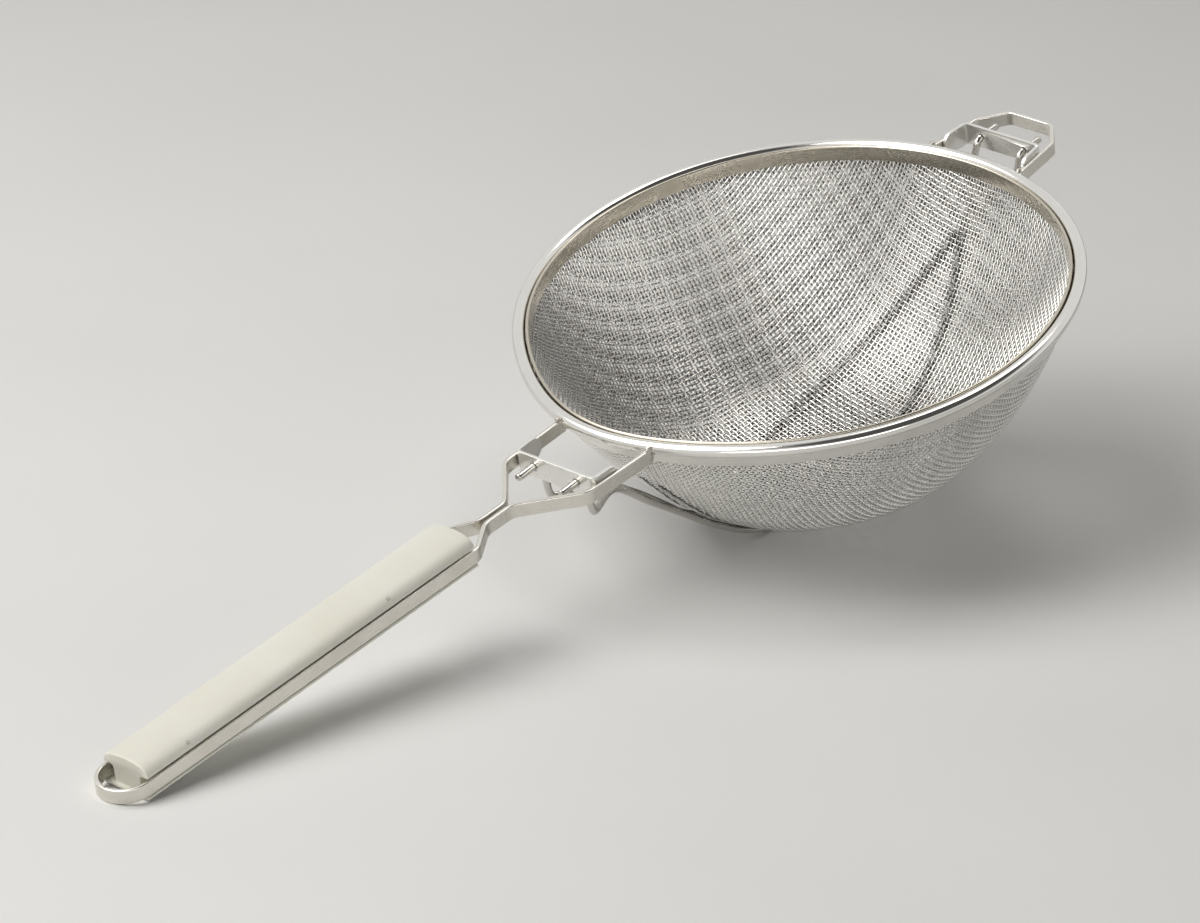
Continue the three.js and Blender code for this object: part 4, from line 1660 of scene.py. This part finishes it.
@dataclass(frozen=True)
class Welds:
    """Small weld beads where the strips' legs meet the rim, one above and one below on each leg.

    Attributes:
        nib: Radius of a bead.
        lumps: How uneven a bead is.
        out: How far a bead's middle stands out from the leg's root.
        above: Height of an upper bead above the strip's top.
        below: Height of a lower bead, as the strip's top is 0.
        inset: How far a lower bead is set back from the upper one.
        upper: Half sizes of an upper bead, in radii.
        lower: Half sizes of a lower bead, in radii.
    """

    nib: float = 1.3
    lumps: float = 0.28
    out: float = 0.4
    above: float = 0.6
    below: float = -4.6
    inset: float = 0.6
    upper: tuple[float, float, float] = (1.2, 0.95, 0.9)
    lower: tuple[float, float, float] = (1.3, 1.0, 1.2)

    def _bead(self, draft: Draft, centre: np.ndarray, size: tuple[float, float, float]) -> None:
        """Adds an uneven bead.

        Args:
            draft: The welds' draft.
            centre: Its middle in the strainer's frame.
            size: Half sizes along X, Y and Z, in radii.
        """
        rows, ring = 9, 14
        lat = np.radians(np.linspace(-86, 86, rows))[:, None]
        lon = np.arange(ring)[None, :] * 2 * math.pi / ring
        ball = np.stack([np.cos(lat) * np.cos(lon), -np.cos(lat) * np.sin(lon), np.sin(lat) + 0 * lon], -1)
        uneven = [[1 + self.lumps * noise.noise(Vector(p) * 1.7 + Vector(centre)) for p in row] for row in ball]
        draft.loft(centre + ball * np.array(uneven)[..., None] * np.array(size) * self.nib)

    def build(self, bench: Bench, handle: Handle, hook: RearHook) -> bpy.types.Object:
        """Builds all beads as one piece.

        Args:
            bench: What they are built on.
            handle: The handle.
            hook: The rear hook.

        Returns:
            The piece.
        """
        draft, rim = Draft(), bench.rim
        for side in Side:
            for plane, spread, outward in ((bench.handle, handle.leg_spread, -1), (bench.hook, hook.spread, 1)):
                half = spread / 2
                pulled = rim.pulled(side.value * half) if outward < 0 else 0.0
                root = -outward * leg_root(rim, half) + outward * (self.out + pulled)
                self._bead(draft, plane.place([root, side.value * half, self.above]), self.upper)
                self._bead(draft, plane.place([root - outward * self.inset, side.value * half, self.below]), self.lower)
        piece = draft.make("weld_beads", bench.rest, [bench.finishes["weld_steel"]])
        return dress(piece)


@dataclass(frozen=True)
class PhotoCamera:
    """The camera of the photograph, in the strainer's frame.

    Attributes:
        location: Its place in millimetres.
        yaw: Heading in degrees from +X.
        pitch: Degrees down from level.
        roll: Turn about its axis in degrees.
        focal: Focal length in pixels of the photograph.
        sensor: Sensor width in millimetres.
        far: How far it sees, in metres.
    """

    location: tuple[float, float, float] = (-1673.4, -1641.2, 1443.2)
    yaw: float = 46.91
    pitch: float = 32.89
    roll: float = 9.82
    focal: float = 6120.0
    sensor: float = 36.0
    far: float = 50.0

    def build(self, rest: RestingFrame) -> bpy.types.Object:
        """Makes it the scene's camera.

        Args:
            rest: The resting frame.

        Returns:
            The camera.
        """
        yaw, pitch, roll = (math.radians(a) for a in (self.yaw, self.pitch, self.roll))
        ahead = np.array([math.cos(pitch) * math.cos(yaw), math.cos(pitch) * math.sin(yaw), -math.sin(pitch)])
        level = np.array([math.sin(yaw), -math.cos(yaw), 0.0])
        down = np.cross(ahead, level)
        right = math.cos(roll) * level + math.sin(roll) * down
        below = -math.sin(roll) * level + math.cos(roll) * down
        axes = rest.turn(np.array([right, -below, -ahead]))
        data = bpy.data.cameras.new("photo_camera")
        data.sensor_width = self.sensor
        data.lens = self.sensor * self.focal / IMAGE_WIDTH
        data.clip_end = self.far
        camera = bpy.data.objects.new("photo_camera", data)
        turned = Matrix([[*axes[:, i]] for i in range(3)]).to_4x4()
        camera.matrix_world = Matrix.Translation(rest.place(np.array(self.location))) @ turned
        bpy.context.scene.collection.objects.link(camera)
        bpy.context.scene.camera = camera
        return camera


@dataclass(frozen=True)
class SoftBox:
    """A soft studio lamp that faces the strainer.

    Attributes:
        name: Its name.
        place: Its place in metres.
        size: Its width and height in metres.
        power: Its power in watts.
        warmth: Its colour.
        aim: The spot that it faces, in metres.
    """

    name: str
    place: tuple[float, float, float]
    size: tuple[float, float]
    power: float
    warmth: tuple[float, float, float] = (1.0, 0.98, 0.95)
    aim: tuple[float, float, float] = (0.0, 0.0, 0.06)

    def build(self) -> bpy.types.Object:
        """Hangs the lamp and aims it.

        Returns:
            The lamp.
        """
        data = bpy.data.lights.new(self.name, "AREA")
        data.shape = "RECTANGLE"
        data.size, data.size_y = self.size
        data.energy = self.power
        data.color = self.warmth
        lamp = bpy.data.objects.new(self.name, data)
        lamp.location = self.place
        lamp.rotation_euler = (Vector(self.aim) - Vector(self.place)).to_track_quat("-Z", "Y").to_euler()
        bpy.context.scene.collection.objects.link(lamp)
        return lamp


@dataclass(frozen=True)
class Studio:
    """Pale floor, soft lamps and a plain world.

    Attributes:
        floor: Half size of the floor in metres.
        world: Colour of the world.
        strength: Strength of the world as a light.
        wall: Strength of the world as shiny surfaces see it.
        dim_wall: The same in the room's one dim patch, high on the near side.
        dim_way: The way to that patch.
        dim_span: Where it begins and where it is fully dim, as cosines of the angle from its middle.
        lamps: The lamps.
    """

    floor: float = 8.0
    world: tuple[float, float, float] = (0.80, 0.80, 0.79)
    strength: float = 0.12
    wall: float = 1.0
    dim_wall: float = 0.1
    dim_way: tuple[float, float, float] = (-0.1, -0.55, 0.83)
    dim_span: tuple[float, float] = (0.68, 0.85)
    lamps: tuple[SoftBox, ...] = (
        SoftBox("front_left_box", (-1.5, 0.6, 1.6), (1.4, 1.0), 15.0),
        SoftBox("overhead_box", (-0.9, 0.9, 1.9), (1.8, 1.5), 28.5),
        SoftBox("rear_box", (0.8, 0.2, 2.0), (1.0, 0.8), 7.0),
        SoftBox("near_strip", (-1.45, -1.45, 0.42), (2.4, 0.6), 9.0),
    )

    def build(self, effects: Effects) -> None:
        """Builds floor, lamps and world.

        Args:
            effects: The shared groups.
        """
        mesh = bpy.data.meshes.new("studio_floor")
        square = [(x * self.floor, y * self.floor, 0) for x, y in ((-1, -1), (1, -1), (1, 1), (-1, 1))]
        mesh.from_pydata(square, [], [(0, 1, 2, 3)])
        mesh.materials.append(FloorFinish().material(effects))
        floor = bpy.data.objects.new("studio_floor", mesh)
        bpy.context.scene.collection.objects.link(floor)
        for lamp in self.lamps:
            lamp.build()
        world = bpy.data.worlds.new("studio")
        world.use_nodes = True
        world.node_tree.nodes["Background"].inputs["Color"].default_value = (*self.world, 1.0)
        self._wall_round(world.node_tree)
        bpy.context.scene.world = world
        bpy.context.scene.view_settings.view_transform = "Standard"

    def _wall_round(self, tree: bpy.types.NodeTree) -> None:
        """Lets shiny surfaces see a pale room with one dim patch, while the lamps light the rest.

        Args:
            tree: The world's nodes.
        """
        path, place = added(tree, "LightPath"), added(tree, "TexCoord")
        seen = combined(tree, "MAXIMUM", (path, "Is Camera Ray"), (path, "Is Glossy Ray"))
        seen = combined(tree, "MAXIMUM", (seen, "Value"), (path, "Is Transmission Ray"))
        facing = added(tree, "VectorMath", "DOT_PRODUCT")
        facing.inputs[1].default_value = self.dim_way
        join(tree, (place, "Generated"), (facing, 0))
        wall = spanned(tree, (facing, "Value"), self.wall, self.dim_wall)
        set_inputs(wall, {"From_Min": self.dim_span[0], "From_Max": self.dim_span[1]})
        strength = added(tree, "Mix")
        strength.inputs[2].default_value = self.strength
        join(tree, (seen, "Value"), (strength, 0))
        join(tree, (wall, "Result"), (strength, 3))
        join(tree, (strength, 0), (tree.nodes["Background"], "Strength"))


FINISHES = (
    SteelFinish(
        "polished_bead", (0.86, 0.85, 0.82), (0.74, 0.72, 0.68), smooth=0.06, rough=0.17,
        along=8.0, across=3000.0, depth=0.000004, patch=45.0, edge=0.0,
    ),
    # Painted light: the skirt is coloured lighter than the bead, though both are one sheet of steel; its higher
    # roughness is its satin finish.
    SteelFinish(
        "satin_skirt_painted_light", (0.96, 0.945, 0.91), (0.88, 0.86, 0.81), smooth=0.42, rough=0.56,
        along=20.0, across=4000.0, depth=0.00001, patch=40.0, edge=0.0,
    ),
    SteelFinish(
        "tan_hoop", (0.64, 0.60, 0.53), (0.48, 0.44, 0.36), smooth=0.20, rough=0.34,
        along=20.0, across=4000.0, depth=0.00001, patch=50.0, edge=0.0,
    ),
    SteelFinish(
        "satin_strip", (0.78, 0.76, 0.71), (0.63, 0.60, 0.54), smooth=0.20, rough=0.40,
        along=25.0, across=3000.0, depth=0.000012, patch=60.0, edge=0.9,
    ),
    SteelFinish(
        "bright_plate", (0.84, 0.83, 0.80), (0.76, 0.75, 0.72), smooth=0.24, rough=0.36,
        along=60.0, across=2500.0, depth=0.000003, patch=70.0, edge=0.0,
    ),
    # Its near-black dull colour, through the tone attribute, paints shade on the guard wires' upper side under the
    # bowl.
    SteelFinish(
        "drawn_wire", (0.82, 0.80, 0.76), (0.10, 0.09, 0.08), smooth=0.14, rough=0.30,
        along=12.0, across=3000.0, depth=0.00001, patch=60.0, edge=0.0, own=0.88,
    ),
    # Its near-black dull colour, through the tone attribute, paints the shade on the cloth wires and the guard wires'
    # stain and shadow on them.
    SteelFinish(
        "cloth_wire", (0.98, 0.97, 0.94), (0.10, 0.095, 0.085), smooth=0.13, rough=0.25,
        along=60.0, across=2000.0, depth=0.00001, patch=30.0, edge=0.0, own=0.9,
    ),
    SteelFinish(
        "weld_steel", (0.74, 0.71, 0.66), (0.24, 0.21, 0.17), smooth=0.22, rough=0.42,
        along=300.0, across=900.0, depth=0.00006, patch=300.0, edge=0.0,
    ),
    IvoryFinish(),
    # Painted shade: the gate marks' dark colour stands for the shade of a shallow pit.
    IvoryFinish("gate_mark_painted_shade", pale=(0.52, 0.46, 0.40), aged=(0.46, 0.40, 0.33)),
)

CLOTHS = (
    WireCloth(
        "coarse_cloth", "coarse_mesh_bowl", pitch=2.45, wire=0.85, depth=0.8, turn=-18.0, sides=6, shows=-1,
        valley_shade=0.95, clean=-0.5, guard_stain_and_shade=1.7,
    ),
    WireCloth(
        "fine_cloth", "fine_mesh_bowl", pitch=2.37, wire=0.7, depth=2.05, turn=-5.0, sides=6, shows=1,
        backside_shade=0.95, clean=-0.3,
    ),
)


def main() -> None:
    """Builds the strainer piece by piece, then the studio and the camera."""
    logging.basicConfig(level=logging.INFO, format="%(name)s %(message)s")
    effects = Effects()
    finishes = {finish.name: finish.material(effects) for finish in FINISHES}
    rim, handle, hook, wires = Rim(), Handle(), RearHook(), GuardWires()
    bench = Bench(
        rim,
        BowlShape(),
        StripPlane((-rim.radius, 0.0, STRIP_TOP), HANDLE_RISE),
        StripPlane((rim.radius, 0.0, STRIP_TOP)),
        RestingFrame.from_core_wire(rim.ring, rim.core),
        finishes,
    )
    guarded = np.concatenate([wires.pressed(side, bench) for side in Side])
    for cloth in CLOTHS:
        cloth.build(bench, guarded)
    rim.build(bench)
    handle.build_strip(bench)
    handle.build_grip(bench)
    hook.build(bench)
    for node in ("front_cross_plate", "rear_cross_plate"):
        CrossPlates().dress(node, bench)
    wires.build(bench)
    Welds().build(bench, handle, hook)
    Studio().build(effects)
    PhotoCamera().build(bench.rest)


if __name__ == "__main__":
    main()
